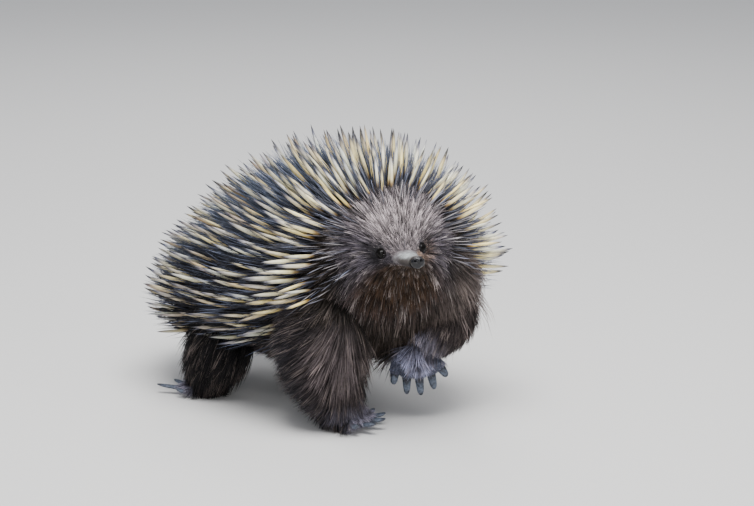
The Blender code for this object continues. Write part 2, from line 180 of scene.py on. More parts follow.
LEGS = {  # x, y, z, half size across the body, half size along it
    "foreleg_right": [(-34, -34, 108, 27, 27), (-48, -41, 74, 30, 32), (-48, -47, 44, 24, 26),
                      (-44, -53, 22, 17, 19), (-42, -55, 13, 17, 18)],
    "foreleg_left": [(38, -62, 112, 26, 27), (50, -80, 90, 26, 27), (46, -89, 78, 22, 21),
                     (30, -86, 69, 18, 16), (24, -84, 64, 19, 12)],
    "hindleg_right": [(-26, 84, 86, 26, 30), (-43, 83, 60, 24, 31), (-52, 90, 36, 19, 23),
                      (-54, 95, 18, 14, 16), (-54, 96, 12, 13, 15)],
    "hindleg_left": [(48, 76, 86, 26, 30), (65, 75, 60, 24, 31), (74, 81, 36, 19, 23),
                     (76, 86, 18, 14, 16), (76, 87, 12, 13, 15)],
}
FEET = {leg: leg.replace("leg", "foot") for leg in LEGS}

EYE_SECTION = 12
EYE_ANGLE = 12
EYE_SINK = 1.6


# %% Smooth curves through the sections
def smooth(rows, t):
    """The row at t, a whole number at each given row, on a Catmull-Rom curve through the rows."""
    last = len(rows) - 1
    k = min(int(t), last - 1)
    before, here, ahead, after = (
        np.array(rows[min(max(j, 0), last)], float) for j in range(k - 1, k + 3)
    )
    q = t - k
    return (
        here * (1 + 2 * q) * (1 - q) ** 2
        + (ahead - before) / 2 * q * (1 - q) ** 2
        + ahead * q * q * (3 - 2 * q)
        + (after - here) / 2 * q * q * (q - 1)
    )


def trunk_design(t, angle, grow=0.0):
    """A point of the trunk before the animal is set on its place. Angle 0 is the left side."""
    x, y, level, top, under, half, heading, roll = smooth(TRUNK, t)
    turn = math.radians(angle)
    height = top - level if math.sin(turn) > 0 else level - under
    across = (half + grow) * math.cos(turn)
    rise = (height + grow) * math.sin(turn)
    lean = math.radians(roll)
    way = math.radians(heading)
    side = across * math.cos(lean) - rise * math.sin(lean)
    up = across * math.sin(lean) + rise * math.cos(lean)
    return MM * Vector((x + side * math.cos(way), y - side * math.sin(way), level + up))


def trunk_out(t, angle):
    """The outward normal of the trunk's skin."""
    along = trunk_design(t + 0.02, angle) - trunk_design(t - 0.02, angle)
    around = trunk_design(t, angle + 1) - trunk_design(t, angle - 1)
    return around.cross(along).normalized()


def eye_design(side):
    """Middle of an eyeball before the animal is set on its place. Side is 1 for left, -1 for right."""
    angle = EYE_ANGLE if side > 0 else 180 - EYE_ANGLE
    out = trunk_out(EYE_SECTION, angle)
    return trunk_design(EYE_SECTION, angle) - out * EYE_SINK * MM, out


# The solids stand with the middle of their box at the origin. The eye gives the shift to that place.
SHIFT = middle("eye_right") - eye_design(-1)[0]
print("shift to the frame in mm:", [round(v / MM, 2) for v in SHIFT])


def trunk(t, angle, grow=0.0):
    """A point of the trunk in the frame."""
    return trunk_design(t, angle, grow) + SHIFT


def eye_at(side):
    """Middle of an eyeball in the frame, and the outward way there."""
    centre, way = eye_design(side)
    return centre + SHIFT, way


def limb(path, t, angle, grow=0.0):
    """A point of a limb in the frame, the outward way there and the way down the limb."""
    x, y, z, across, along = smooth(path, t)
    way = Vector(smooth(path, min(t + 0.05, len(path) - 1))[:3] - smooth(path, t - 0.05)[:3])
    way.normalize()
    fore = way.cross(Vector((1, 0, 0))).normalized()
    wide = fore.cross(way)
    turn = math.radians(angle)
    out = wide * (across + grow) * math.cos(turn) + fore * (along + grow) * math.sin(turn)
    return MM * (Vector((x, y, z)) + out) + SHIFT, out.normalized(), way


# %% [markdown]
# ## One skin
#
# Under the coat the real animal has one skin with no seam. We model the trunk and each leg as a hand
# would: a circle is extruded ring by ring, and every new ring is set to its section. Copies of the
# small solids of feet, tail and ears join them, and a voxel remesh melts all of it into one closed
# surface, which a light smoothing then relaxes.

# %% Extrude a circle along its sections
def tree_of(places):
    """A search tree of places, each kept by its number."""
    tree = KDTree(len(places))
    for k, place in enumerate(places):
        tree.insert(place, k)
    tree.balance()
    return tree


def sweep(name, rings):
    """A closed form made by extruding a circle and setting every new ring to its place."""
    let_go()
    bpy.ops.mesh.primitive_circle_add(vertices=len(rings[0]), radius=MM, fill_type="NGON")
    form = bpy.context.object
    form.name = name
    bpy.ops.object.mode_set(mode="EDIT")
    cage = bmesh.from_edit_mesh(form.data)
    for vertex, place in zip(cage.verts, rings[0]):
        vertex.co = place
    bmesh.update_edit_mesh(form.data)
    for before, ring in zip(rings, rings[1:]):
        bpy.ops.mesh.extrude_region_move()
        cage = bmesh.from_edit_mesh(form.data)
        old = tree_of(before)
        for vertex in [v for v in cage.verts if v.select]:
            vertex.co = ring[old.find(vertex.co)[1]]
        bmesh.update_edit_mesh(form.data)
    bpy.ops.mesh.select_all(action="SELECT")
    bpy.ops.mesh.normals_make_consistent(inside=False)
    bpy.ops.object.mode_set(mode="OBJECT")
    return form


def round_angles(sides):
    """Equal steps of angle, once round."""
    return [360 * k / sides for k in range(sides)]


def trunk_rings(first, last, count, sides, grow):
    """Rings of the trunk from one section to another."""
    ends = np.linspace(first, last, count)
    return [[trunk(t, a, grow) for a in round_angles(sides)] for t in ends]


def limb_rings(path, count, sides, grow):
    """Rings of a limb from its root to its end."""
    ends = np.linspace(0, len(path) - 1, count)
    return [[limb(path, t, a, grow)[0] for a in round_angles(sides)] for t in ends]


def copy_of(node, name):
    """A copy of a solid with its loose triangles merged, ready to be joined to other forms."""
    form = bpy.data.objects.new(name, frame["nodes"][node].data.copy())
    form.data.materials.clear()
    bpy.context.scene.collection.objects.link(form)
    pick(form)
    bpy.ops.object.mode_set(mode="EDIT")
    bpy.ops.mesh.select_all(action="SELECT")
    bpy.ops.mesh.remove_doubles(threshold=0.00001)
    bpy.ops.object.mode_set(mode="OBJECT")
    return form


# %% Join the forms and melt them into one skin
SKIN_SIDES = 40
LEG_SIDES = 24
SKIN_INSET = -0.4
BEAK_INSET = -0.9
SKIN_VOXEL = 1.7 * MM
SMALL_SOLIDS = list(FEET.values()) + ["tail", "ear_left", "ear_right"]
skin_rings = trunk_rings(0, BEAK, 53, SKIN_SIDES, SKIN_INSET)
skin_rings += trunk_rings(BEAK + 0.2, BEAK + 1.2, 6, SKIN_SIDES, BEAK_INSET)
skin = sweep("skin", skin_rings)
forms = [sweep(leg, limb_rings(path, 14, LEG_SIDES, SKIN_INSET)) for leg, path in LEGS.items()]
forms += [copy_of(node, "under_" + node) for node in SMALL_SOLIDS]
pick(skin, *forms)
bpy.ops.object.join()
skin.name = "skin"
remesh = skin.modifiers.new("melt", "REMESH")
remesh.mode = "VOXEL"
remesh.voxel_size = SKIN_VOXEL
relax = skin.modifiers.new("relax", "SMOOTH")
relax.factor = 0.5
relax.iterations = 4
bake_in(skin)
skin.data.shade_smooth()
print("skin:", len(skin.data.vertices), "points")

# %% [markdown]
# ## The coat's map
#
# Fur isn't scattered blindly: on a real animal it has a lie, a length and a colour at each place. We
# lay guides on the trunk, the legs and the feet. A guide knows where it is on the body and which way
# the hair points. Each point of the skin then asks its nearest guides, so it gets its own lie, length,
# density and marking, and a place on an unwrap of the body's own shape.

# %% Lay the guides
PARTS = ["trunk"] + list(LEGS) + list(FEET.values())
guides = []


def guide(place, lie, part, t, angle, away=(0, 0, 1)):
    """Keeps one guide: its place, the hair's way, its part, where it is on that part and outwards."""
    guides.append((tuple(place), tuple(lie), PARTS.index(part), t, angle % 360, tuple(away)))


for t in np.arange(0.1, BEAK + 1.2, 0.25):
    for angle in range(0, 360, 12):
        back = trunk(t - 0.05, angle) - trunk(t + 0.05, angle)
        guide(trunk(t, angle), back.normalized(), "trunk", t, angle, trunk_out(t, angle))
for leg, path in LEGS.items():
    for t in np.arange(0.6, len(path) - 1, 0.2):
        for angle in range(0, 360, 24):
            place, _, way = limb(path, t, angle)
            guide(place, way, leg, t, angle)
for leg, foot in FEET.items():
    centre = middle(foot)
    for number in range(1, 6):
        claw = middle(f"{foot}_claw_{number}")
        for share in (0.15, 0.4, 0.65, 0.9):
            for lift in (-4, 4):
                place = centre.lerp(claw, share) + Vector((0, 0, lift * MM))
                guide(place, (claw - centre).normalized(), foot, share, 72 * number)
print("guides:", len(guides))

guide_place, guide_lie, guide_part, guide_t, guide_angle, guide_away = (
    np.array(column) for column in zip(*guides)
)
guide_tree = tree_of(guide_place)

# %% Ask the guides at each point of the skin
NEAREST = 4
GUIDE_BLUR = 0.5 * MM
count = len(skin.data.vertices)


def of_points(name):
    """The places or the normals of the skin's points, one a row."""
    values = np.empty(count * 3, np.float32)
    skin.data.vertices.foreach_get(name, values)
    return values.reshape(-1, 3).astype(float)


spot = of_points("co")
out = of_points("normal")
part = np.zeros(count, int)
at, angle = np.zeros((2, count))
lie, flow, away = np.zeros((3, count, 3))
for k in range(count):
    near = guide_tree.find_n(spot[k], NEAREST)
    ids = [row[1] for row in near]
    weights = np.array([1 / (row[2] + GUIDE_BLUR) ** 2 for row in near])
    weights /= weights.sum()
    part[k] = guide_part[ids[0]]
    same = guide_part[ids] == part[k]
    own = weights * same / (weights * same).sum()
    at[k] = (own * guide_t[ids]).sum()
    turns = np.radians(guide_angle[ids])
    angle[k] = math.degrees(math.atan2((own * np.sin(turns)).sum(), (own * np.cos(turns)).sum())) % 360
    lie[k] = weights @ guide_lie[ids]
    flow[k] = own @ guide_lie[ids]
    away[k] = own @ guide_away[ids]

# %% [markdown]
# ## Length, density and marking
#
# The face is short and soft, nearly bare at the beak, and grows longer towards the cheeks. The chest
# and the legs have long hair that hangs. Spines cover the back down to a line that drops from the
# cheek to the flank. The forehead is pale grey, with a dark patch round each eye, partly dark fur and
# partly painted shade of the sunken eye, and a tan one beside the beak. The throat and the belly are
# dark brown, and the feet have a cool grey bloom. Each rule below is a soft step along the body or
# round it, so nothing changes with a hard edge.

# %% Where the spines grow
EDGE_AT = (0, 1.5, 3, 5, 6, 7, 8, 9)
EDGE_RIGHT = (72, 66, 55, 38, 28, 20, 10, 2)
EDGE_LEFT = (72, 66, 55, 38, 24, 10, 0, -4)


def above_edge(t, angle):
    """Degrees that a place of the trunk lies above the spines' lower line, less than 0 below it."""
    from_back = (np.asarray(angle) - 90 + 180) % 360 - 180
    drop = np.where(from_back > 0, np.interp(t, EDGE_AT, EDGE_RIGHT), np.interp(t, EDGE_AT, EDGE_LEFT))
    return 90 + drop - np.abs(from_back)


def is_part(name):
    """The skin's points that belong to a part."""
    return part == PARTS.index(name)


on_trunk = is_part("trunk")
on_leg = (part >= 1) & (part <= 4)
on_foot = part >= 5
lifted_arm = is_part("foreleg_left")
lifted_foot = is_part("forefoot_left")
standing_leg = is_part("foreleg_right")
hind_leg = is_part("hindleg_right") | is_part("hindleg_left")
turned = np.radians(angle)
topward = np.sin(turned)
on_right = np.cos(turned) < 0
above = np.where(on_trunk, above_edge(at, angle), -90)
under = np.where(on_trunk, ramp(-topward, -0.1, 0.7), 0)
front_edge = mix(np.where(on_right, 8.0, 8.5), 9.1, ramp(topward, 0.35, 0.85))
spiny = np.where(on_trunk, ramp(above, -4, 10) * ramp(front_edge - at, 0, 0.5), 0)
print("points under the spines:", int((spiny > 0.5).sum()))

# %% Length of the hair in millimetres
FACE_FROM = 9
FACE_AT = (9, 10, 11, 12, 12.6, 13.1, 13.6, 14.2)
FACE_LENGTH = (23, 19, 14.5, 10, 7.4, 5.6, 4.4, 3.4)
BODY_LENGTH = (18, 26)
LEG_AT = (0.6, 2, 3, 4)
LEG_LENGTH = (29, 25, 18, 13)
FOOT_LENGTH = (13.5, 6.5)
HAND_LENGTH = (12.5, 2.0)
length = np.where(on_trunk, np.interp(at, FACE_AT, FACE_LENGTH), 0.0)
body = on_trunk & (at < FACE_FROM)
length = np.where(body, mix(*BODY_LENGTH, ramp(at, 4, 8)) * mix(0.8, 1.0, under), length)
length = np.where(on_leg, np.interp(at, LEG_AT, LEG_LENGTH), length)
length = np.where(on_foot, mix(*FOOT_LENGTH, ramp(at, 0.25, 0.85)), length)
length = np.where(lifted_foot, mix(*HAND_LENGTH, ramp(at, 0.15, 0.62)), length)

# %% Shorter hair on the lifted arm
# The raised forefoot has to show, so the hair is shorter below the arm, on its front and at the
# wrist. REARWARD points to the rear and to the animal's right.
REARWARD = np.array([-0.71, 0.71, 0])
rearward = out @ REARWARD
low_side = mix(0.78, 0.5, ramp(-out[:, 2], -0.2, 0.6))
low_side *= mix(1.0, 0.72, ramp(-rearward, 0.3, 0.8))
length = np.where(lifted_arm, length * low_side, length)
by_wrist = (lifted_foot & (at < 0.4)) | (lifted_arm & (at > 2.6))
length = np.where(by_wrist, length * mix(1.0, 0.4, ramp(rearward, 0.05, 0.5)), length)

# %% Long hair on the shoulder, and a loose cape over it
SHOULDER_LENGTH = 27
CAPE_TURN = 16
CAPE_LENGTH = 1.8
CAPE_FLUFF = 3.2
shoulder = on_trunk * ramp(at, 4, 5.5) * ramp(9.5 - at, 0, 1.5) * ramp(8 - above, 0, 12)
length = mix(length, SHOULDER_LENGTH, shoulder * 0.8)
cape = shoulder * ramp(np.cos(np.radians(angle + CAPE_TURN)), 0.7, 0.95)
length *= mix(1.0, CAPE_LENGTH, cape)
fluff = mix(1.0, CAPE_FLUFF, cape)

# %% Short hair round the eyes and the ears
EYE_CLOSE = 5.0 * MM
EYE_FAR = 9.5 * MM
EAR_CLOSE = 7 * MM
EAR_FAR = 13 * MM
eye_places = np.array([eye_at(side)[0] for side in (1, -1)])
eye_gap = np.linalg.norm(spot[:, None] - eye_places[None], axis=2).min(axis=1)
length *= mix(0.2, 1.0, ramp(eye_gap, EYE_CLOSE, EYE_FAR))
for ear in ("ear_left", "ear_right"):
    close = np.linalg.norm(spot - np.array(middle(ear)), axis=1)
    length *= mix(0.55, 1.0, ramp(close, EAR_CLOSE, EAR_FAR))
print("longest hair in mm:", round(float(length.max())))

# %% How many hairs stand on a square millimetre
FACE_DENSITY = (0.9, 1.9)
BODY_DENSITY = (0.30, 0.75)
SHOULDER_DENSITY = 0.85
LEG_DENSITY = 0.62
FOOT_DENSITY = 1.25
face = on_trunk & (at >= FACE_FROM)
density = np.where(face, mix(*FACE_DENSITY, ramp(at, 9.5, 12.5)), 0.55)
density = np.where(body, mix(*BODY_DENSITY, ramp(at, 3, 7.5)) * mix(1.0, 0.25, spiny), density)
density = mix(density, SHOULDER_DENSITY, shoulder)
density = np.where(on_leg, LEG_DENSITY, density)
density = np.where(on_foot, FOOT_DENSITY, density)

# %% Where no hair stands: on the beak, the eyes, the soles and the claws
EYE_BARE = 4.8 * MM
CLAW_BARE = 1.2 * MM
SOLE_HEIGHT = 9 * MM
bare_from = BEAK + mix(1.05, 0.55, ramp(topward, -0.3, 0.5))
density = np.where(on_trunk, density * (1 - ramp(at, bare_from - 0.35, bare_from)), density)
density[eye_gap < EYE_BARE] = 0
density[on_foot & (out[:, 2] < -0.35) & (spot[:, 2] < SOLE_HEIGHT)] = 0
for foot in FEET.values():
    for number in range(1, 6):
        low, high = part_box(f"{foot}_claw_{number}")
        gap = np.maximum(np.array(low) - spot, spot - np.array(high)).max(axis=1)
        density[gap < CLAW_BARE] = 0

# %% The lie of the hair
# Hair follows the body, hangs where its own weight draws it down, and is combed back on the standing
# leg. At the end each way is laid flat on the skin and gets the length 1.
DOWN = (0, 0, -1)
BACK = (0, 1, 0)
BACK_RIGHT = (-0.5, 0.9, 0)
hang = np.where(on_trunk, under * ramp(at, 2, 7.5) * mix(1.0, 0.22, ramp(at, 8.2, 10)), 0)
lie += np.outer(hang * 0.9, DOWN)
lie += np.outer(np.where(on_leg, 0.25, 0), DOWN)
lie += np.outer(np.where(lifted_arm, 1.6 * ramp(at, 2.0, 2.9), 0), DOWN)
lie += np.outer(np.where(standing_leg, 0.9 * ramp(3.6 - at, 0, 1.6), 0), BACK)
swept = standing_leg * ramp(rearward, -0.3, 0.5) * ramp(3.8 - at, 0, 1.2)
lie += np.outer(swept * 1.8, BACK_RIGHT)
for ways, from_skin in ((lie, out), (flow, away)):
    ways -= from_skin * (ways * from_skin).sum(axis=1)[:, None]
    ways /= np.maximum(np.linalg.norm(ways, axis=1), 1e-6)[:, None]


# %% Tones of the live animal
def tone(red, green, blue):
    """A colour from its screen values, 0 to 255."""
    screen = np.array([red, green, blue]) / 255
    return np.where(screen <= 0.04045, screen / 12.92, ((screen + 0.055) / 1.055) ** 2.4)


FOREHEAD = tone(168, 157, 158)
CHEEK = tone(97, 91, 99)
THROAT = tone(66, 49, 36)
CHEST = tone(47, 40, 34)
BELLY = tone(40, 36, 37)
UNDER_SPINES = tone(34, 30, 31)
LEG = tone(56, 49, 48)
LEG_FRONT_LIGHT = tone(114, 103, 104)
LEG_REAR_SHADE = tone(34, 31, 36)
HIND_LEG_SHADE = tone(18, 16, 18)
BRIDGE = tone(154, 142, 144)
EYE_PATCH_AND_SHADE = tone(26, 22, 25)
TAN = tone(212, 176, 150)
CAPE = tone(126, 113, 109)
FOOT = tone(142, 138, 154)
HAND = tone(166, 169, 198)
FINGER = tone(112, 116, 138)


# %% Markings of the trunk and the face
def lay(base, colour, share):
    """Paints a colour over the marking by its share at each point."""
    return base + (colour - base) * np.asarray(share)[:, None]


upper = np.where(on_trunk, ramp(topward, 0.15, 0.75), 0)
narrow = np.where(on_right & on_trunk, ramp(topward, 0.35, 0.95), upper)
from_left = np.abs((angle + 8 + 180) % 360 - 180)
beside = np.where(on_trunk, 1 - ramp(from_left, 14, 40), 0)
marking = np.tile(BELLY, (count, 1))
marking = lay(marking, CHEST, on_trunk * ramp(at, 5, 8))
marking = lay(marking, CHEEK, on_trunk * ramp(at, 8.6, 10.2))
marking = lay(marking, FOREHEAD, on_trunk * narrow * ramp(at, 9.0, 10.8))
marking = lay(marking, BRIDGE, on_trunk * upper * ramp(at, 11.8, 12.8))
marking = lay(marking, TAN, beside * ramp(at, 11.0, 12.0) * 0.85)

# %% Dark patches beside the eyes, the throat and the skin under the spines
PATCH_ASIDE = 3.0 * MM
PATCH_CORE = 4.5 * MM
PATCH_REACH = 8.8 * MM
PATCH_SHARE = (0.4, 0.92)
aside = eye_places - eye_places.mean(axis=0)
aside *= PATCH_ASIDE / np.linalg.norm(aside, axis=1)[:, None]
patches = np.linalg.norm(spot[:, None] - (eye_places + aside)[None], axis=2)
eye_patch_and_shade = (1 - ramp(patches, PATCH_CORE, PATCH_REACH)) * PATCH_SHARE
# Round each eye the fur darkens: partly dark fur, partly painted shade of the sunken eye.
marking = lay(marking, EYE_PATCH_AND_SHADE, on_trunk * eye_patch_and_shade.max(axis=1))
marking = lay(marking, THROAT, on_trunk * ramp(-topward, 0.3, 0.8) * ramp(at, 8.6, 9.8))
marking = lay(marking, UNDER_SPINES, spiny)

# %% Markings of the legs and feet, with painted shade on the hind legs and on the standing leg's rear, and painted light on its front
# The standing leg's front, towards the camera and the light, is lightened as painted light.
LIT_FRONT_WAY = np.array([-0.42, -0.91, 0])
lit_front = ramp(out @ LIT_FRONT_WAY, 0.8, 1.0) * ramp(2.4 - at, 0, 1.2)
marking = lay(marking, LEG, on_leg)
# The hind legs are painted near black: painted shade under the body.
marking = lay(marking, HIND_LEG_SHADE, hind_leg)
marking = lay(marking, FOOT, (on_leg & ~hind_leg) * ramp(at, 2.2, 3.4) * 0.85)
marking = lay(marking, FOOT, on_foot)
marking = lay(marking, HAND, lifted_foot * ramp(at, 0.02, 0.3))
marking = lay(marking, FINGER, lifted_foot * ramp(at, 0.4, 0.62))
# The standing leg's rear side is darkened as painted shade.
marking = lay(marking, LEG_REAR_SHADE, standing_leg * ramp(rearward, -0.35, 0.45))
marking = lay(marking, LEG_FRONT_LIGHT, standing_leg * lit_front * 0.8)
marking = lay(marking, CAPE, cape * 0.9)
print("skin points by part:", {name: int((part == k).sum()) for k, name in enumerate(PARTS)})

# %% Unwrap of the body's own shape
# The trunk takes the upper part of the map: along the body is across the map, and the angle from the
# belly is up it. Each leg and each foot has its own field in a row below.
MARGIN = 0.02
unwrap = np.zeros((count, 2))
unwrap[:, 0] = MARGIN + 0.96 * at / TIP
unwrap[:, 1] = 0.32 + 0.66 * ((angle + 90) % 360) / 360
for k in range(1, len(PARTS)):
    column = (k - 1) % 4
    row = (k - 1) // 4
    mine = part == k
    reach = 4.0 if row == 0 else 1.0
    unwrap[mine, 0] = MARGIN + 0.24 * column + 0.22 * np.clip(at[mine] / reach, 0, 1)
    unwrap[mine, 1] = MARGIN + 0.15 * (1 - row) + 0.13 * angle[mine] / 360


# %% Keep the markings on the skin
def keep(mesh, title, values):
    """Keeps a number or a colour of every point as an attribute of the mesh."""
    if values.ndim == 1:
        layer = mesh.attributes.new(title, "FLOAT", "POINT")
        layer.data.foreach_set("value", values.astype(np.float32))
    else:
        layer = mesh.attributes.new(title, "FLOAT_COLOR", "POINT")
        colours = np.c_[values, np.ones(len(values))]
        layer.data.foreach_set("color", colours.astype(np.float32).ravel())


keep(skin.data, "marking", marking)

# %% [markdown]
# ## Sowing the roots
#
# A root is a random point on a random triangle of the skin, and the triangle is drawn by its area
# times the density there. The root takes its normal, lie, length and marking from the triangle's
# corners.

# %% Sow roots on the skin
skin.data.calc_loop_triangles()
corner = np.empty(len(skin.data.loop_triangles) * 3, np.int32)
skin.data.loop_triangles.foreach_get("vertices", corner)
corner = corner.reshape(-1, 3)
edge_a = spot[corner[:, 1]] - spot[corner[:, 0]]
edge_b = spot[corner[:, 2]] - spot[corner[:, 0]]
area = np.linalg.norm(np.cross(edge_a, edge_b), axis=1) / 2 / MM ** 2


def sow(thick):
    """Roots spread over the skin. thick is how many stand on a square millimetre, at each point."""
    share = area * thick[corner].mean(axis=1)
    number = int(share.sum())
    tris = chance.choice(len(corner), number, p=share / share.sum())
    u, v = chance.random((2, number))
    flip = u + v > 1
    u[flip], v[flip] = 1 - u[flip], 1 - v[flip]
    weights = np.c_[1 - u - v, u, v]
    ids = corner[tris]
    ways = {"place": spot, "out": out, "lie": lie, "flow": flow, "away": away, "marking": marking}
    root = {name: (values[ids] * weights[:, :, None]).sum(axis=1) for name, values in ways.items()}
    for name, values in (("length", length), ("fluff", fluff), ("spiny", spiny)):
        root[name] = (values[ids] * weights).sum(axis=1)
    for name, values in (("at", at), ("angle", angle), ("part", part), ("map", unwrap)):
        root[name] = values[ids[:, 0]]
    root["whole"] = (part[ids] == part[ids[:, :1]]).all(axis=1)
    for name in ("out", "lie", "flow", "away"):
        root[name] /= np.maximum(np.linalg.norm(root[name], axis=1), 1e-6)[:, None]
    return root


def some(root, mask):
    """Those roots that the mask keeps."""
    return {name: values[mask] for name, values in root.items()}


# %% [markdown]
# ## One grower for hairs, bristles and spines
#
# A hair curve would be lost when the model is exported, so each hair is a closed tapering tube of few
# sides, and all of them are built at once from arrays. A tube is set by its root, the way it leaves
# the skin, how it bends over to follow the lie, and its thickness along its length. Its UV map gives
# each tube a small patch at its root's place on the body's unwrap.

# %% Grow many tapering tubes
PATCH = 0.003
GROUND = 0.4 * MM


def unit(vectors):
    """The same vectors with length 1."""
    return vectors / np.maximum(np.linalg.norm(vectors, axis=-1), 1e-9)[..., None]


def grow(name, root, way, bend, size, half, shares, girth, sides, sink, patch=PATCH, lots=None):
    """One mesh of tubes. way is how each leaves the skin, bend where it is drawn to by its tip."""
    number = len(size)
    shares = np.array(shares)
    lengths = size[:, None, None]
    path = root["place"][:, None, :] + MM * lengths * (
        way[:, None, :] * shares[None, :, None] + bend[:, None, :] * (shares ** 2)[None, :, None]
    )
    path[:, 0] -= way * sink * MM
    path[:, :, 2] = np.maximum(path[:, :, 2], GROUND)
    run = unit(np.gradient(path, axis=1))
    side = unit(np.cross(run, root["out"][:, None, :] + 0.01))
    top = np.cross(side, run)
    turn = 2 * np.pi * np.arange(sides) / sides + chance.random((number, 1)) * 2
    around = (
        side[:, :-1, None, :] * np.cos(turn)[:, None, :, None]
        + top[:, :-1, None, :] * np.sin(turn)[:, None, :, None]
    )
    thick = MM * half[:, None, None, None] * np.array(girth)[None, :, None, None]
    rings = path[:, :-1, None, :] + around * thick
    levels = len(shares) - 1
    points = np.concatenate([rings.reshape(number, -1, 3), path[:, -1:, :]], axis=1)
    each = points.shape[1]
    faces = [(k, k - 1, 0) for k in range(2, sides)]
    for level in range(levels - 1):
        for k in range(sides):
            a = level * sides + k
            b = level * sides + (k + 1) % sides
            faces += [(a, b, b + sides), (a, b + sides, a + sides)]
    for k in range(sides):
        a = (levels - 1) * sides
        faces.append((a + k, a + (k + 1) % sides, each - 1))
    faces = np.array(faces)
    all_faces = (faces[None] + (np.arange(number) * each)[:, None, None]).reshape(-1, 3)
    mesh = bpy.data.meshes.new(name)
    mesh.from_pydata(points.reshape(-1, 3), [], all_faces)
    mesh.shade_smooth()
    shaft = np.append(np.repeat(shares[:-1], sides), 1.0)
    if lots is None:
        lots = chance.random(number)
    keep(mesh, "shaft", np.tile(shaft, number))
    keep(mesh, "lot", np.repeat(lots, each))
    keep(mesh, "marking", np.repeat(root["marking"], each, axis=0))
    across = np.append(np.tile(np.arange(sides) / (sides - 1), levels), 0.5)
    local = np.c_[across - 0.5, shaft - 0.5] * patch
    flat = (root["map"][:, None, :] + local[None]).reshape(-1, 2)
    chart = mesh.uv_layers.new(name="OFBake")
    chart.data.foreach_set("uv", flat[all_faces.ravel()].astype(np.float32).ravel())
    piece = bpy.data.objects.new(name, mesh)
    bpy.context.scene.collection.objects.link(piece)
    return piece


# %% [markdown]
# ## Fur
#
# Neighbouring hairs cling together, so each hair's tip is drawn part of the way to the tip of the
# lock that it belongs to. Every few hairs one is paler, as the guard hairs of the chest and the legs
# are in the photograph. The coat is grown in ten pieces, so that none gets too heavy.

# %% Comb hairs into locks
FUR_SINK = 1.5
FUR_SHARES = (0, 0.4, 0.75, 1)
FUR_GIRTH = (1.0, 0.92, 0.6)


def scatter_ways(number, amount):
    """Small random leanings."""
    return chance.normal(0, amount, (number, 3))


def fur(name, root, half, rise, cling, spacing):
    """Hairs in clinging locks. rise is how steeply they leave the skin, cling how much they cluster."""
    number = len(root["length"])
    picked = chance.random(number) < 1 / (spacing ** 2)
    centres = np.flatnonzero(picked)
    tree = tree_of(root["place"][centres])
    lock = centres[[tree.find(place)[1] for place in root["place"]]]
    lean = scatter_ways(number, 0.10) + scatter_ways(number, 0.10)[lock]
    steep = rise * root["fluff"] * chance.uniform(0.7, 1.3, number)[lock]
    size = root["length"] * chance.uniform(0.7, 1.15, number)
    way = unit(root["lie"] + root["out"] * steep[:, None] + lean)
    bend = root["lie"] * 0.18 - root["out"] * (steep * 0.42)[:, None]
    bend[:, 2] -= 0.07
    pull = (root["place"][lock] - root["place"]) / MM / np.maximum(size, 1)[:, None]
    bend += pull * cling
    thick = half * np.clip(size / 14, 0.5, 1.15) * chance.uniform(0.75, 1.25, number)
    lots = np.where(chance.random(number) < 0.62, chance.random(number)[lock], chance.random(number))
    return grow(name, root, way, bend, size, thick, FUR_SHARES, FUR_GIRTH, 3, FUR_SINK, lots=lots)


# %% Grow the fur
FACE_COAT = {"half": 0.21, "rise": 0.55, "cling": 0.22, "spacing": 2.4}
BODY_COAT = {"half": 0.26, "rise": 0.42, "cling": 0.22, "spacing": 2.8}
LEG_COAT = {"half": 0.24, "rise": 0.40, "cling": 0.20, "spacing": 2.8}
CHEST_FROM = 6.2
roots = sow(density)
print("hairs:", len(roots["length"]))
of_trunk = roots["part"] == 0
is_face = of_trunk & (roots["at"] >= FACE_FROM)
is_body = of_trunk & ~is_face
is_front = roots["at"] > CHEST_FROM
is_right = np.cos(np.radians(roots["angle"])) < 0
coats = {
    "fur_face_right": (is_face & is_right, FACE_COAT),
    "fur_face_left": (is_face & ~is_right, FACE_COAT),
    "fur_chest_right": (is_body & is_front & is_right, BODY_COAT),
    "fur_chest_left": (is_body & is_front & ~is_right, BODY_COAT),
    "fur_rear_right": (is_body & ~is_front & is_right, BODY_COAT),
    "fur_rear_left": (is_body & ~is_front & ~is_right, BODY_COAT),
}
for k, leg in enumerate(LEGS, 1):
    coats["fur_" + leg] = ((roots["part"] == k) | (roots["part"] == k + len(LEGS)), LEG_COAT)
furs = {name: fur(name, some(roots, mine), **coat) for name, (mine, coat) in coats.items()}

# %% [markdown]
# ## Bristles and spines
#
# Between the spines stand thin dark bristles, and paler ones edge the face. Those that face the sky get
# a painted blue-grey sheen, and some get a painted blue-grey highlight towards the tip. A spine is a
# stiff spindle: thickest half way out, dark at its root, cream along its shaft and needle sharp at a
# dark tip. Both lean back along the body, fan upwards and stand steepest round the face. Spines must
# not crowd, so a root is only kept if it is far enough from all earlier ones.

# %% The way that spines and bristles point
SPINE_AT = (0, 1.5, 3, 5, 6, 7, 8, 8.6)
SPINE_RISE = (0.9, 0.66, 0.60, 0.64, 0.76, 0.90, 1.0, 1.0)
SPINE_RISE_TOP = (0.9, 0.68, 0.72, 0.92, 0.97, 1.0, 1.0, 1.0)
SPINE_FLOOR = -0.10
SPINE_LIFT = (0.10, 0.22, 0.30, 0.34, 0.30, 0.16, 0.04, 0.0)
SPINE_LENGTH = (38, 42, 45, 46, 46, 43, 38, 31)


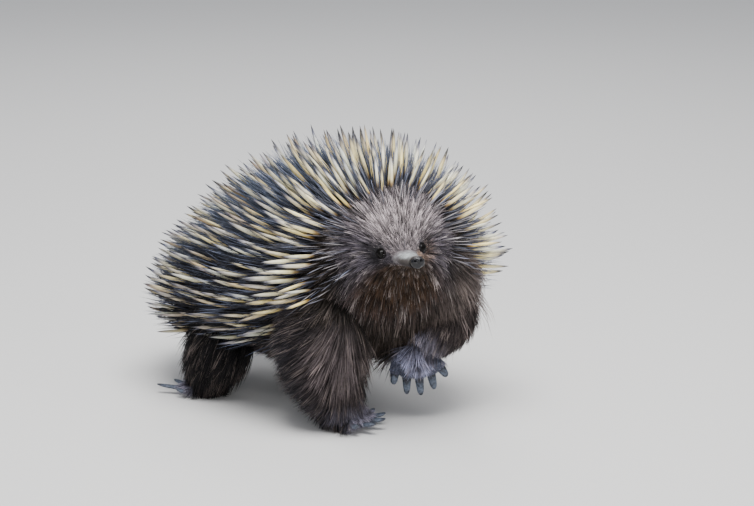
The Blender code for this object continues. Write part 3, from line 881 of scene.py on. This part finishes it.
def stand(root, wander):
    """How spines or bristles leave the skin: outwards, back along the body and a little upwards."""
    steep = root["away"][:, 2]
    rise = mix(
        np.interp(root["at"], SPINE_AT, SPINE_RISE), np.interp(root["at"], SPINE_AT, SPINE_RISE_TOP),
        np.interp(steep, (0.15, 0.75), (0, 1)),
    )[:, None]
    lean = np.sqrt(np.maximum(1.1 - rise ** 2, 0))
    lift = np.interp(root["at"], SPINE_AT, SPINE_LIFT)
    lift *= np.interp(steep, (-0.9, -0.1, 0.35, 0.9), (0, 1, 1, 0.1))
    way = root["away"] * rise + root["flow"] * lean
    way[:, 2] = np.maximum(way[:, 2] + lift, SPINE_FLOOR)
    return unit(way + scatter_ways(len(rise), wander))


def spread(root, values, vary):
    """A size along the body, varied at random."""
    return np.interp(root["at"], SPINE_AT, values) * chance.uniform(1 - vary, 1 + vary, len(root["at"]))


# %% Grow the bristles
BRISTLE_DARK = tone(34, 33, 38)
BRISTLE_SKY_SHEEN = tone(69, 76, 90)
BRISTLE_CROWN = tone(96, 96, 106)
BRISTLE_PALE = tone(176, 170, 172)
BRISTLE_LENGTH = (30, 34, 37, 38, 36, 32, 27, 22)
BRISTLE_DENSITY = 0.115
EDGE_DENSITY = 0.035
PALE_SHARE = 0.55
edge_bristles = np.where(on_trunk & (at < 9.8) & (above > -14), EDGE_DENSITY, 0)
bristle_roots = sow(spiny * BRISTLE_DENSITY + edge_bristles)
bristle_roots = some(bristle_roots, bristle_roots["whole"])
crown = ramp(bristle_roots["at"], 5.0, 7.8)
bristle_roots["marking"] = mix(BRISTLE_DARK, BRISTLE_CROWN, crown[:, None])
# Bristles that face the sky are tinted blue-grey as a painted sky sheen.
sky_sheen = ramp(bristle_roots["away"][:, 2], 0.1, 0.8) * (1 - 0.6 * crown)
bristle_roots["marking"] = mix(bristle_roots["marking"], BRISTLE_SKY_SHEEN, sky_sheen[:, None])
at_edge = (bristle_roots["spiny"] < 0.6) & (bristle_roots["at"] > 7)
pale_ones = at_edge & (chance.random(len(at_edge)) < PALE_SHARE)
bristle_roots["marking"][pale_ones] = BRISTLE_PALE
bristles = []
for name, side in (("bristles_right", -1), ("bristles_left", 1)):
    root = some(bristle_roots, np.cos(np.radians(bristle_roots["angle"])) * side >= 0)
    number = len(root["at"])
    bristles.append(grow(
        name, root, stand(root, 0.10), root["flow"] * 0.08 + scatter_ways(number, 0.05),
        spread(root, BRISTLE_LENGTH, 0.18), chance.uniform(0.26, 0.5, number),
        (0, 0.35, 0.7, 1), (0.9, 1.0, 0.62), 4, 2.0,
    ))
    print(name, number)

# %% Keep spine roots apart
SPINE_GAP = 9.7
CROWN_GAP = 6.9
SEED_DENSITY = 0.18
spine_seed = sow(np.where((spiny > 0.4) & (at < 8.95), SEED_DENSITY, 0))
spine_seed = some(spine_seed, spine_seed["whole"])
gaps = mix(SPINE_GAP, CROWN_GAP, ramp(spine_seed["at"], 5, 7.5))
kept = []
cells = {}
for k, place in enumerate(spine_seed["place"] / MM):
    cell = tuple((place // SPINE_GAP).astype(int))
    near = [
        other
        for dx in (-1, 0, 1) for dy in (-1, 0, 1) for dz in (-1, 0, 1)
        for other in cells.get((cell[0] + dx, cell[1] + dy, cell[2] + dz), ())
    ]
    if all(np.linalg.norm(place - other) > gaps[k] for other in near):
        kept.append(k)
        cells.setdefault(cell, []).append(place)
spine_roots = some(spine_seed, np.array(kept))
print("spines:", len(kept))

# %% Grow the spines
# The marking of a spine is the tint of its shaft: bright round the face, duller and mauve behind, and
# darker as painted shade where the skin faces down.
SPINE_HALF = 1.95
SPINE_SHARES = (0, 0.14, 0.32, 0.52, 0.74, 0.90, 1)
SPINE_GIRTH = (0.45, 0.74, 0.96, 1.0, 0.84, 0.48)
SPINE_SIDES = 7
SPINE_SINK = 2.5
SPINE_PATCH = 0.009
MAUVE = tone(214, 196, 204)
number = len(kept)
crown = ramp(spine_roots["at"], 4.0, 7.5)
bright = mix(0.69, 1.16, crown) * chance.uniform(0.66, 1.16, number)
# Spines on skin that faces down are darkened as painted shade.
bright *= mix(0.82, 1.0, ramp(spine_roots["away"][:, 2], -0.6, 0.1))
mauve = np.clip(chance.normal(0.35, 0.35, number), 0, 1) * (1 - 0.6 * crown)
spine_roots["marking"] = bright[:, None] * mix(np.ones(3), MAUVE, mauve[:, None])
spine_size = spread(spine_roots, SPINE_LENGTH, 0.09)
spine_half = SPINE_HALF * np.clip(spine_size / 46, 0.62, 1.05) * chance.uniform(0.74, 1.1, number)
spine_half *= mix(0.88, 1.0, crown)
spine_bend = scatter_ways(number, 0.02) + np.array([0, 0, 0.06])
spines = grow(
    "spines", spine_roots, stand(spine_roots, 0.075), spine_bend, spine_size, spine_half,
    SPINE_SHARES, SPINE_GIRTH, SPINE_SIDES, SPINE_SINK, SPINE_PATCH,
)

# %% [markdown]
# ## The bare beak
#
# The beak is naked leathery skin. It is extruded from a circle along the same sections, with rings
# close enough together to hold the nostrils and the slit of the mouth. Those are pressed in point by
# point: each point near a nostril sinks the more the closer it is.

# %% Extrude the beak
BEAK_SIDES = 40
NOSE_SIZES = (0.98, 0.94, 0.88, 0.80, 0.71, 0.61, 0.51, 0.40, 0.29, 0.18, 0.08)
NOSE_DEPTH = 2.6
rings = []
for t in np.linspace(BEAK - 0.4, TIP, 42):
    tuck = -1.1 * float(1 - ramp(t, BEAK - 0.3, BEAK + 0.3))
    rings.append([trunk(t, a, tuck) for a in round_angles(BEAK_SIDES)])
end = (trunk(TIP, 90) + trunk(TIP, 270)) / 2
nose_way = end - (trunk(TIP - 0.5, 90) + trunk(TIP - 0.5, 270)) / 2
nose_way.normalize()
last = rings[-1]
for size in NOSE_SIZES:
    step = NOSE_DEPTH * math.sqrt(1 - size ** 2.4)
    rings.append([end + (place - end) * size + nose_way * step * MM for place in last])
beak = sweep("beak_skin", rings)

# %% Press in the nostrils and the mouth
MOUTH_HALF = 2.6
MOUTH_DEPTH = 0.55
NOSE_BUMPS = 0.34
lip_way = (trunk(TIP, 0) - trunk(TIP, 180)).normalized()
crest = nose_way.cross(lip_way)
crest *= math.copysign(1, crest.z)
nostrils = [end + (lip_way * side * 2.4 + crest * 1.9 + nose_way * 2.0) * MM for side in (1, -1)]
mouth = trunk(TIP, 270) + nose_way * 0.2 * MM
for vertex in beak.data.vertices:
    inward = (end - vertex.co - nose_way * nose_way.dot(end - vertex.co)).normalized()
    for place in nostrils:
        reach = (vertex.co - place).length / MM
        rim = float(ramp(reach, 0.7, 1.5) * (1 - ramp(reach, 1.5, 2.6)))
        vertex.co -= (nose_way * 1.5 + crest * 0.5) * MM * float(1 - ramp(reach, 0.5, 1.4))
        vertex.co += (nose_way * 0.5 + crest * 0.35) * MM * rim
    moist = float(ramp(nose_way.dot(vertex.co - end) / MM, -4, -1))
    vertex.co += nose_way * NOSE_BUMPS * MM * moist * noise.noise(vertex.co * 850)
    back = nose_way.dot(mouth - vertex.co) / MM
    aside = abs(lip_way.dot(vertex.co - mouth)) / MM
    if back < 11 and vertex.co.z < mouth.z + 3.2 * MM:
        slit = abs(aside - MOUTH_HALF)
        press = float(1 - ramp(slit, 0.2, 1.1)) * float(1 - ramp(back, 7, 11))
        vertex.co += inward * MOUTH_DEPTH * MM * press
finer = beak.modifiers.new("finer", "SUBSURF")
finer.levels = 1
finer.render_levels = 1
bake_in(beak)
beak.data.shade_smooth()

# %% Mark the beak: pale on its ridge, partly as painted light on its top, darker at its sides and underside as painted shade, black at the nose
RIDGE_TONE_AND_LIGHT = tone(158, 162, 162)
BEAK_ROOT = tone(116, 112, 114)
BEAK_SIDE_SHADE = tone(76, 70, 67)
BEAK_UNDER_SHADE = tone(48, 43, 43)
NOSE = tone(12, 12, 16)
place = np.array([vertex.co for vertex in beak.data.vertices])
forth = (place - np.array(end)) @ np.array(nose_way) / MM
facing_up = np.array([vertex.normal for vertex in beak.data.vertices]) @ np.array(crest)
# The skin is coloured by which way it faces: painted shade on the underside and sides, painted light on the
# top.
beak_mark = np.tile(BEAK_UNDER_SHADE, (len(place), 1))
beak_mark = lay(beak_mark, BEAK_SIDE_SHADE, ramp(facing_up, -0.6, 0.1))
blotch = np.array([noise.fractal(Vector(p) * 260, 1.0, 2.0, 4) for p in place])
beak_mark = lay(beak_mark, RIDGE_TONE_AND_LIGHT, ramp(facing_up + 0.3 * blotch, 0.3, 1.1) * ramp(-forth, 3, 10))
beak_mark = lay(beak_mark, BEAK_ROOT, ramp(-forth - 5 * blotch, 26, 44))
beak_mark *= mix(0.72, 1.1, ramp(blotch, -0.6, 0.6))[:, None]
beak_mark = lay(beak_mark, NOSE, 1 - ramp(-forth + 2.5 * facing_up, 2.5, 6.5))
keep(beak.data, "marking", beak_mark)
keep(beak.data, "wet", 1 - ramp(-forth, 2.0, 6.0))
print("beak:", len(place), "points")

# %% [markdown]
# ## Eyes and lids
#
# An eye is a wet black ball with a slightly bulging cornea, deep in its socket. Its two lids are one
# ring of dark wrinkled skin: a torus, pressed to an almond and turned to face outwards. Their dark is
# deepened as painted shade of the socket, and their pale lower rim is partly pale skin and partly a
# painted highlight.

# %% Eyeballs
EYE_RADIUS = 4.3 * MM
CORNEA = 0.35 * MM


def make_eye(side, name):
    """An eyeball with a bulging cornea."""
    centre, way = eye_at(side)
    let_go()
    bpy.ops.mesh.primitive_uv_sphere_add(segments=40, ring_count=24, radius=EYE_RADIUS, location=centre)
    eye = bpy.context.object
    eye.name = name + "_ball"
    for vertex in eye.data.vertices:
        share = vertex.co.normalized().dot(way)
        vertex.co += way * CORNEA * float(ramp(share, 0.75, 0.95))
    eye.data.shade_smooth()
    bake_in(eye)
    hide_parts(name)
    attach(eye, "root")
    return eye


eyes = [make_eye(1, "eye_left"), make_eye(-1, "eye_right")]

# %% Lids
LID_RADIUS = 4.6 * MM
LID_THICK = 0.75 * MM
LID_LIFT = 1.6 * MM
LID_DARK_AND_SHADE = tone(16, 13, 15)
LID_PALE_AND_HIGHLIGHT = tone(140, 132, 142)


def make_lids(side, name):
    """The ring of skin round an eye."""
    ball, way = eye_at(side)
    let_go()
    bpy.ops.mesh.primitive_torus_add(
        major_radius=LID_RADIUS, minor_radius=LID_THICK, major_segments=48, minor_segments=14,
    )
    lids = bpy.context.object
    lids.name = name
    for vertex in lids.data.vertices:
        x, y, z = vertex.co / MM
        turn = math.atan2(y, x)
        almond = 1 + 0.10 * math.cos(2 * turn)
        fold = 0.12 * math.sin(9 * turn) + 0.08 * math.sin(17 * turn + 1)
        vertex.co = Vector((x * almond, y * (0.94 + 0.02 * fold), z * 1.1 + fold * 0.4)) * MM
    lids.rotation_euler = way.to_track_quat("Z", "Y").to_euler()
    lids.location = ball + way * LID_LIFT
    lids.data.shade_smooth()
    bake_in(lids)
    from_ball = [v.co - ball for v in lids.data.vertices]
    low = np.array([-step.z for step in from_ball]) / MM
    reach = np.array([(step - way * way.dot(step)).length for step in from_ball]) / MM
    # The lower outer rim is pale, partly pale skin and partly a painted highlight; the rest is near black,
    # partly dark skin and partly painted shade.
    lower = (ramp(low, 3.2, 4.4) * ramp(reach, 4.4, 5.2))[:, None]
    keep(lids.data, "marking", mix(LID_DARK_AND_SHADE, LID_PALE_AND_HIGHLIGHT, lower))
    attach(lids, "root")
    return lids


lids = [make_lids(1, "lids_left"), make_lids(-1, "lids_right")]
print("eyes and lids:", len(eyes) + len(lids))

# %% [markdown]
# ## Claws
#
# A digging claw is a blunt, slightly bent spatula of horn, flatter than it is wide, with fine grooves
# along it and growth rings across it. Each one is a circle extruded along its digit's own line: the
# foot's middle, the way it points, the line its digits stand along, and each digit's place, angle
# and reach. Its root and tip are closed by insets of the end faces.

# %% Feet and their digits
Foot = namedtuple("Foot", "palm forward side root fan reach claw broad thick")
FOOT_FORM = {
    "foreleg_right": Foot((-39, -59, 8), (0.5, -0.866, 0), (0.866, 0.5, 0), (-9, -5, 0, 5, 9),
                          (-46, -22, 0, 22, 46), (15, 18, 19, 18, 15), (8, 13, 14, 13, 9), 3.6, 2.4),
    "foreleg_left": Foot((18, -82, 55), (0.05, -0.05, -1), (0.7071, -0.7071, 0), (-14.5, -6.5, 2, 10.5, 15),
                         (-12, -4, 2, 9, 34), (15, 19, 19, 16, 12), (9, 13, 14, 12, 8), 3.7, 2.7),
    "hindleg_right": Foot((-54, 99, 6), (-0.26, 0.966, 0), (-0.966, -0.26, 0), (-8, -4, 0, 4, 8),
                          (-46, -24, 0, 22, 46), (14, 18, 20, 18, 15), (7, 10, 14, 24, 8), 2.8, 2.2),
    "hindleg_left": Foot((76, 90, 6), (0.26, 0.966, 0), (-0.966, 0.26, 0), (-8, -4, 0, 4, 8),
                         (-46, -22, 0, 24, 46), (15, 18, 20, 18, 14), (8, 24, 14, 10, 7), 2.8, 2.2),
}


def digit_frame(foot, number):
    """Where a digit starts, the way it points, its width and its upper side."""
    forward = Vector(foot.forward).normalized()
    side = Vector(foot.side).normalized()
    up = side.cross(forward)
    turn = math.radians(foot.fan[number])
    way = forward * math.cos(turn) + side * math.sin(turn)
    return MM * (Vector(foot.palm) + side * foot.root[number]) + SHIFT, way, up.cross(way), up


# %% Extrude the claws
CLAW_SIDES = 20
CREASE_DEPTH = 0.035
GROOVE_DEPTH = 0.05
CLAW_BEND = 2.3


def make_claw(leg, number):
    """A claw along its digit's line, broad and blunt, bent down and grooved along its top."""
    foot = FOOT_FORM[leg]
    root, way, wide, up = digit_frame(foot, number)
    rings = []
    shares = np.append(np.linspace(-0.12, 0.9, 30), (0.94, 0.97, 0.99, 1.0))
    for k, share in enumerate(shares):
        blunt = math.sqrt(max(1 - max((share - 0.55) / 0.47, 0) ** 2.6, 0.02))
        crease = 1 - (CREASE_DEPTH if k % 3 == 0 and share < 0.8 else 0)
        size = (1.06 - 0.36 * max(share, 0)) * blunt * crease
        drop = CLAW_BEND * max(share, 0) ** 1.8
        middle_here = root + way * (foot.reach[number] + foot.claw[number] * share) * MM - up * drop * MM
        ring = []
        for j in range(CLAW_SIDES):
            turn = 2 * math.pi * j / CLAW_SIDES
            groove = 1 - GROOVE_DEPTH * math.cos(6 * turn) * float(ramp(math.sin(turn), 0, 0.6))
            across = wide * math.cos(turn) * foot.broad
            over = up * math.sin(turn) * foot.thick * (1.0 if math.sin(turn) > 0 else 0.8)
            ring.append(middle_here + (across + over) * size * groove * MM)
        rings.append(ring)
    claw = sweep(f"{FEET[leg]}_horn_{number + 1}", rings)
    end_face = [face.index for face in claw.data.polygons if len(face.vertices) == CLAW_SIDES]
    pick(claw)
    bpy.ops.object.mode_set(mode="EDIT")
    cage = bmesh.from_edit_mesh(claw.data)
    for face in cage.faces:
        face.select = face.index in end_face
    cage.select_flush_mode()
    bmesh.update_edit_mesh(claw.data)
    bpy.ops.mesh.inset(thickness=0.35 * MM, depth=0.25 * MM)
    bpy.ops.mesh.inset(thickness=0.35 * MM, depth=0.1 * MM)
    bpy.ops.object.mode_set(mode="OBJECT")
    bake_in(claw)
    claw.data.shade_smooth()
    base = np.array(root + way * foot.reach[number] * MM)
    along = np.array([vertex.co for vertex in claw.data.vertices]) - base
    keep(claw.data, "shaft", (along @ np.array(way)) / MM / foot.claw[number])
    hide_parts(f"{FEET[leg]}_claw_{number + 1}")
    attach(claw, "root")
    return claw


claws = [make_claw(leg, number) for leg in LEGS for number in range(5)]
print("claws:", len(claws))

# %% [markdown]
# ## Shared effects
#
# Two effects are used by more than one finish, so each is built once as a node group. One colours a
# shaft from its root to its tip and varies it from hair to hair. The other gives skin and horn their
# grain, as a change of tone and a height for the bump.


# %% Helpers for nodes
def set_inputs(tree, made, inputs):
    """Sets or links a node's inputs by number, as i0, or by name, with _ for a space."""
    for key, value in inputs.items():
        plug = made.inputs[int(key[1:])] if key[1:].isdigit() else made.inputs[key.replace("_", " ")]
        if isinstance(value, bpy.types.NodeSocket):
            tree.links.new(value, plug)
        else:
            plug.default_value = value


def node(tree, kind, **inputs):
    """Adds a node with its inputs."""
    made = tree.nodes.new(kind)
    set_inputs(tree, made, inputs)
    return made


def math_node(tree, operation, a, b=0.0, clamp=False):
    """One step of arithmetic on values."""
    made = node(tree, "ShaderNodeMath", i0=a, i1=b)
    made.operation = operation
    made.use_clamp = clamp
    return made.outputs[0]


def chain(tree, value, *steps):
    """Steps of arithmetic on one value, each an operation and its other value."""
    for operation, other in steps:
        value = math_node(tree, operation, value, other)
    return value


def scaled(tree, colour, factor):
    """A colour times a value."""
    made = node(tree, "ShaderNodeVectorMath", i0=colour)
    made.operation = "SCALE"
    tree.links.new(factor, made.inputs["Scale"])
    return made.outputs[0]


def blend_node(tree, kind, share, a, b):
    """Mixes two colours."""
    made = tree.nodes.new("ShaderNodeMix")
    made.data_type = "RGBA"
    made.blend_type = kind
    set_inputs(tree, made, {"i0": share, "i6": a, "i7": b})
    return made.outputs[2]


def object_place(tree):
    """The place on the object, which patterns are laid by."""
    return tree.nodes.new("ShaderNodeTexCoord").outputs["Object"]


# %% Node group that colours a shaft
def new_group(name, inputs, outputs):
    """A node group with named sockets. An input has a starting value where it is a number."""
    tree = bpy.data.node_groups.new(name, "ShaderNodeTree")
    for title, value in inputs.items():
        kind = "NodeSocketColor" if value is None else "NodeSocketFloat"
        made = tree.interface.new_socket(name=title, in_out="INPUT", socket_type=kind)
        if value is not None:
            made.default_value = value
    for title, kind in outputs.items():
        tree.interface.new_socket(name=title, in_out="OUTPUT", socket_type=kind)
    return tree, tree.nodes.new("NodeGroupInput").outputs


shaft_tone, inside = new_group(
    "shaft tone",
    {"Marking": None, "Shaft": 0.0, "Lot": 0.0, "Root Shade": 0.35, "Tip Light": 1.4, "Vary": 1.0,
     "Pale Share": 0.15, "Pale Tone": None, "Pale Strength": 0.4},
    {"Color": "NodeSocketColor", "Roughness": "NodeSocketFloat"},
)
rise = math_node(shaft_tone, "SUBTRACT", inside["Tip Light"], inside["Root Shade"])
bowed = math_node(shaft_tone, "POWER", inside["Shaft"], 1.6)
vary = chain(
    shaft_tone, inside["Lot"], ("MULTIPLY", 7.31), ("FRACT", 0.0), ("SUBTRACT", 0.5),
    ("MULTIPLY", inside["Vary"]), ("ADD", 1.0),
)
gain = chain(shaft_tone, rise, ("MULTIPLY", bowed), ("ADD", inside["Root Shade"]), ("MULTIPLY", vary))
pale = chain(
    shaft_tone, inside["Lot"], ("LESS_THAN", inside["Pale Share"]), ("MULTIPLY", inside["Shaft"]),
    ("MULTIPLY", inside["Pale Strength"]),
)
base = blend_node(shaft_tone, "MIX", pale, inside["Marking"], inside["Pale Tone"])
rough = chain(shaft_tone, inside["Lot"], ("MULTIPLY", 0.2), ("ADD", 0.45))
node(shaft_tone, "NodeGroupOutput", Color=scaled(shaft_tone, base, gain), Roughness=rough)

# %% Node group for the grain of skin and horn
grain, inside = new_group(
    "grain", {"Color": None, "Size": 400.0, "Contrast": 0.3},
    {"Color": "NodeSocketColor", "Height": "NodeSocketFloat"},
)
here = object_place(grain)
pores = node(grain, "ShaderNodeTexVoronoi", Vector=here, Scale=inside["Size"])
fine = node(grain, "ShaderNodeTexNoise", Vector=here, Scale=inside["Size"], Detail=4.0)
height = chain(grain, pores.outputs["Distance"], ("MULTIPLY", 0.6), ("ADD", fine.outputs["Fac"]))
shade = chain(grain, height, ("SUBTRACT", 0.75), ("MULTIPLY", inside["Contrast"]), ("ADD", 1.0))
node(grain, "NodeGroupOutput", Color=scaled(grain, inside["Color"], shade), Height=height)

# %% [markdown]
# ## Finishes
#
# Each finish is one Principled material. Hair takes its colour from the marking that its root had on
# the skin. Spines have their own bands along the shaft. Beak, lids and skin share the grain, and the
# nose and the eyes are wet.


# %% Start a finish
def finish(name):
    """A new material, its node tree and its shader."""
    material = bpy.data.materials.new(name)
    material.use_nodes = True
    return material, material.node_tree, material.node_tree.nodes["Principled BSDF"]


def read(tree, name, output="Fac"):
    """Reads an attribute of the mesh."""
    made = tree.nodes.new("ShaderNodeAttribute")
    made.attribute_name = name
    return made.outputs[output]


def group(tree, which, **inputs):
    """Places a node group with its own values."""
    made = tree.nodes.new("ShaderNodeGroup")
    made.node_tree = which
    set_inputs(tree, made, inputs)
    return made


def strand_finish(name, root_shade, tip_light, pale_share, pale, strength, vary=1.0):
    """A finish for hairs, by how dark their roots and how light their tips are."""
    material, tree, shader = finish(name)
    tones = group(
        tree, shaft_tone, Marking=read(tree, "marking", "Color"), Shaft=read(tree, "shaft"),
        Lot=read(tree, "lot"), Root_Shade=root_shade, Tip_Light=tip_light, Vary=vary,
        Pale_Share=pale_share, Pale_Tone=(*pale, 1), Pale_Strength=strength,
    ).outputs
    set_inputs(tree, shader, {
        "Base_Color": tones["Color"], "Roughness": tones["Roughness"], "Specular_IOR_Level": 0.22,
    })
    return material


# %% Fur and bristles
face_fur = strand_finish("face fur", 0.05, 2.1, 0.2, tone(212, 200, 196), 0.5, 1.8)
body_fur = strand_finish("body fur", 0.08, 1.9, 0.17, tone(138, 125, 119), 0.75, 1.4)
# The bristles' pale blue-grey tone, towards the tips of a share of them, is a painted highlight.
bristle_horn = strand_finish("bristle horn", 0.25, 1.6, 0.2, tone(126, 134, 160), 0.9)


# %% Spines, with dark roots, cream shafts and dark tips
def banded(tree, bands, share):
    """Bands of colour along a shaft, by the share of its length."""
    made = tree.nodes.new("ShaderNodeValToRGB")
    tree.links.new(share, made.inputs["Fac"])
    elements = made.color_ramp.elements
    while len(elements) < len(bands):
        elements.new(0.5)
    for element, (position, colour) in zip(elements, bands):
        element.position = position
        element.color = (*colour, 1)
    return made.outputs["Color"]


SPINE_BANDS = (
    (0.00, tone(16, 13, 12)), (0.15, tone(44, 34, 28)), (0.25, tone(156, 130, 92)),
    (0.35, tone(236, 222, 178)), (0.62, tone(252, 247, 226)), (0.76, tone(212, 206, 200)),
    (0.86, tone(106, 105, 122)), (0.94, tone(40, 41, 52)),
)
COOL = (*tone(234, 243, 250), 1)
WARM = (*tone(252, 238, 176), 1)
spine_horn, tree, shader = finish("spine horn")
lot = read(tree, "lot")
slide = chain(tree, lot, ("SUBTRACT", 0.62), ("MULTIPLY", 0.18))
bands = banded(tree, SPINE_BANDS, math_node(tree, "ADD", read(tree, "shaft"), slide, True))
tinted = blend_node(tree, "MULTIPLY", 1.0, bands, read(tree, "marking", "Color"))
warmth = chain(tree, lot, ("MULTIPLY", 5.7), ("FRACT", 0.0))
warmed = blend_node(tree, "MULTIPLY", 1.0, tinted, blend_node(tree, "MIX", warmth, COOL, WARM))
streaks = node(tree, "ShaderNodeTexNoise", Vector=object_place(tree), Scale=260.0, Detail=3.0)
streak = chain(tree, streaks.outputs["Fac"], ("MULTIPLY", 0.6), ("ADD", 0.78))
set_inputs(tree, shader, {
    "Base_Color": scaled(tree, warmed, streak), "Roughness": 0.34, "Specular_IOR_Level": 0.5,
})


# %% Skin, beak and lids
def grained(tree, shader, colour, size, contrast, strength, depth):
    """Gives a finish its grain, as a change of tone and as a bump."""
    grains = group(tree, grain, Color=colour, Size=size, Contrast=contrast).outputs
    bump = node(tree, "ShaderNodeBump", Height=grains["Height"], Strength=strength, Distance=depth)
    set_inputs(tree, shader, {"Base_Color": grains["Color"], "Normal": bump.outputs[0]})


SKIN_SHADE = (0.28, 0.29, 0.31, 1)
skin_leather, tree, shader = finish("skin under the fur")
dark = blend_node(tree, "MULTIPLY", 1.0, read(tree, "marking", "Color"), SKIN_SHADE)
grained(tree, shader, dark, 800.0, 1.5, 0.9, 0.0011)
shader.inputs["Roughness"].default_value = 0.7

beak_leather, tree, shader = finish("beak leather")
grained(tree, shader, read(tree, "marking", "Color"), 700.0, 0.8, 0.45, 0.0004)
moist = chain(tree, read(tree, "wet"), ("MULTIPLY", -0.36), ("ADD", 0.56))
set_inputs(tree, shader, {"Roughness": moist, "Specular_IOR_Level": 0.4})

lid_skin, tree, shader = finish("lid skin")
grained(tree, shader, read(tree, "marking", "Color"), 900.0, 0.5, 0.5, 0.0003)
set_inputs(tree, shader, {"Roughness": 0.6, "Specular_IOR_Level": 0.15})

# %% Eyes and claws
CLAW_BANDS = (
    (0.0, tone(34, 34, 39)), (0.18, tone(54, 58, 67)), (0.5, tone(80, 88, 101)),
    (0.85, tone(76, 82, 93)), (1.0, tone(46, 49, 57)),
)
EYE_BLACK = (0.001, 0.001, 0.001, 1)
EYE_BROWN = (0.005, 0.004, 0.003, 1)
wet_eye, tree, shader = finish("wet eye")
iris = node(tree, "ShaderNodeTexNoise", Vector=object_place(tree), Scale=500.0)
dark = blend_node(tree, "MIX", iris.outputs["Fac"], EYE_BLACK, EYE_BROWN)
set_inputs(tree, shader, {"Base_Color": dark, "Roughness": 0.03, "Specular_IOR_Level": 0.12})

claw_horn, tree, shader = finish("claw horn")
worn = node(tree, "ShaderNodeTexNoise", Vector=object_place(tree), Scale=260.0, Detail=5.0)
uneven = chain(tree, worn.outputs["Fac"], ("SUBTRACT", 0.5), ("MULTIPLY", 0.9))
bands = banded(tree, CLAW_BANDS, math_node(tree, "ADD", read(tree, "shaft"), uneven, True))
grained(tree, shader, bands, 560.0, 2.0, 0.9, 0.0009)
set_inputs(tree, shader, {"Roughness": 0.42, "Specular_IOR_Level": 0.3})

# %% Dress the pieces
LARGE = 150000
flesh = ["torso", "head", "tail", "ear_left", "ear_right"] + list(LEGS) + list(FEET.values())
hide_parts(*flesh)
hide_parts("beak")
dressed = [
    (skin, skin_leather, "fur"), (beak, beak_leather, "beak_skin"),
    (spines, spine_horn, "spined_coat"),
]
dressed += [(piece, bristle_horn, "spined_coat") for piece in bristles]
for name, piece in furs.items():
    dressed.append((piece, face_fur if "face" in name else body_fur, "fur"))
dressed += [(piece, wet_eye, "eye") for piece in eyes]
dressed += [(piece, lid_skin, "fur") for piece in lids]
dressed += [(piece, claw_horn, "claw") for piece in claws]
total = 0
for piece, material, name in dressed:
    piece.data.materials.clear()
    piece.data.materials.append(material)
    if piece.parent is None:
        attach(piece, "root")
    piece.data.calc_loop_triangles()
    triangles = len(piece.data.loop_triangles)
    total += triangles
    if triangles > LARGE:
        print("large piece:", piece.name, triangles)
print("triangles in all:", total)

# %% [markdown]
# ## Floor, light and camera
#
# The floor is one plain pale plane. A large soft light overhead and a weaker one from the front give
# the even light of open shade. A third, from behind, lights the rim of the spines, and a small low one
# puts the glint in the eyes. The camera looks from the photograph's angle, from the animal's right
# front and a little above its eyes.

# %% Floor
FLOOR_SIZE = 12
let_go()
bpy.ops.mesh.primitive_plane_add(size=FLOOR_SIZE)
floor = bpy.context.object
floor.name = "floor"
pale, tree, shader = finish("pale floor")
set_inputs(tree, shader, {"Base_Color": (0.72, 0.71, 0.69, 1), "Roughness": 0.8})
floor.data.materials.append(pale)
floor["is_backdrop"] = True


# %% Lights
def soft_light(name, place, aim, size, watts):
    """A large square light."""
    lamp = bpy.data.lights.new(name, "AREA")
    lamp.size = size
    lamp.energy = watts
    item = bpy.data.objects.new(name, lamp)
    bpy.context.scene.collection.objects.link(item)
    item.location = place
    item.rotation_euler = (Vector(aim) - Vector(place)).to_track_quat("-Z", "Y").to_euler()


soft_light("overhead", (-0.3, -0.4, 1.7), (0, 0, 0.1), size=1.1, watts=54)
soft_light("front", (-1.5, -1.5, 0.7), (0, 0, 0.12), size=0.9, watts=12)
soft_light("rim", (0.9, 1.0, 1.2), (0, 0, 0.15), size=0.7, watts=8)
soft_light("glint", (0.35, -2.2, 0.55), (-0.05, -0.12, 0.15), size=0.22, watts=6)
sky = bpy.data.worlds.new("studio")
bpy.context.scene.world = sky
sky.use_nodes = True
background = sky.node_tree.nodes["Background"]
set_inputs(sky.node_tree, background, {"Color": (0.86, 0.90, 1.0, 1), "Strength": 0.48})

# %% Camera
CAMERA_SIDE = 45
CAMERA_RISE = 14
CAMERA_REACH = 3.0
CAMERA_AIM = (27.6, -27.6, 134)
CAMERA_LENS = 168.5
aim = Vector(CAMERA_AIM) * MM + SHIFT
side = math.radians(CAMERA_SIDE)
rise = math.radians(CAMERA_RISE)
back = Vector((-math.sin(side) * math.cos(rise), -math.cos(side) * math.cos(rise), math.sin(rise)))
camera = bpy.data.objects.new("camera", bpy.data.cameras.new("camera"))
bpy.context.scene.collection.objects.link(camera)
camera.location = aim + back * CAMERA_REACH
camera.rotation_euler = (-back).to_track_quat("-Z", "Y").to_euler()
camera.data.lens = CAMERA_LENS
bpy.context.scene.camera = camera

# %% Keep both boxes and finish
boxes = {"cad": [list(v) for v in cad_box], "visual": [list(v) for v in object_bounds()]}
for name, corners in boxes.items():
    print(name, "box in mm:", [[round(v / MM) for v in corner] for corner in corners])
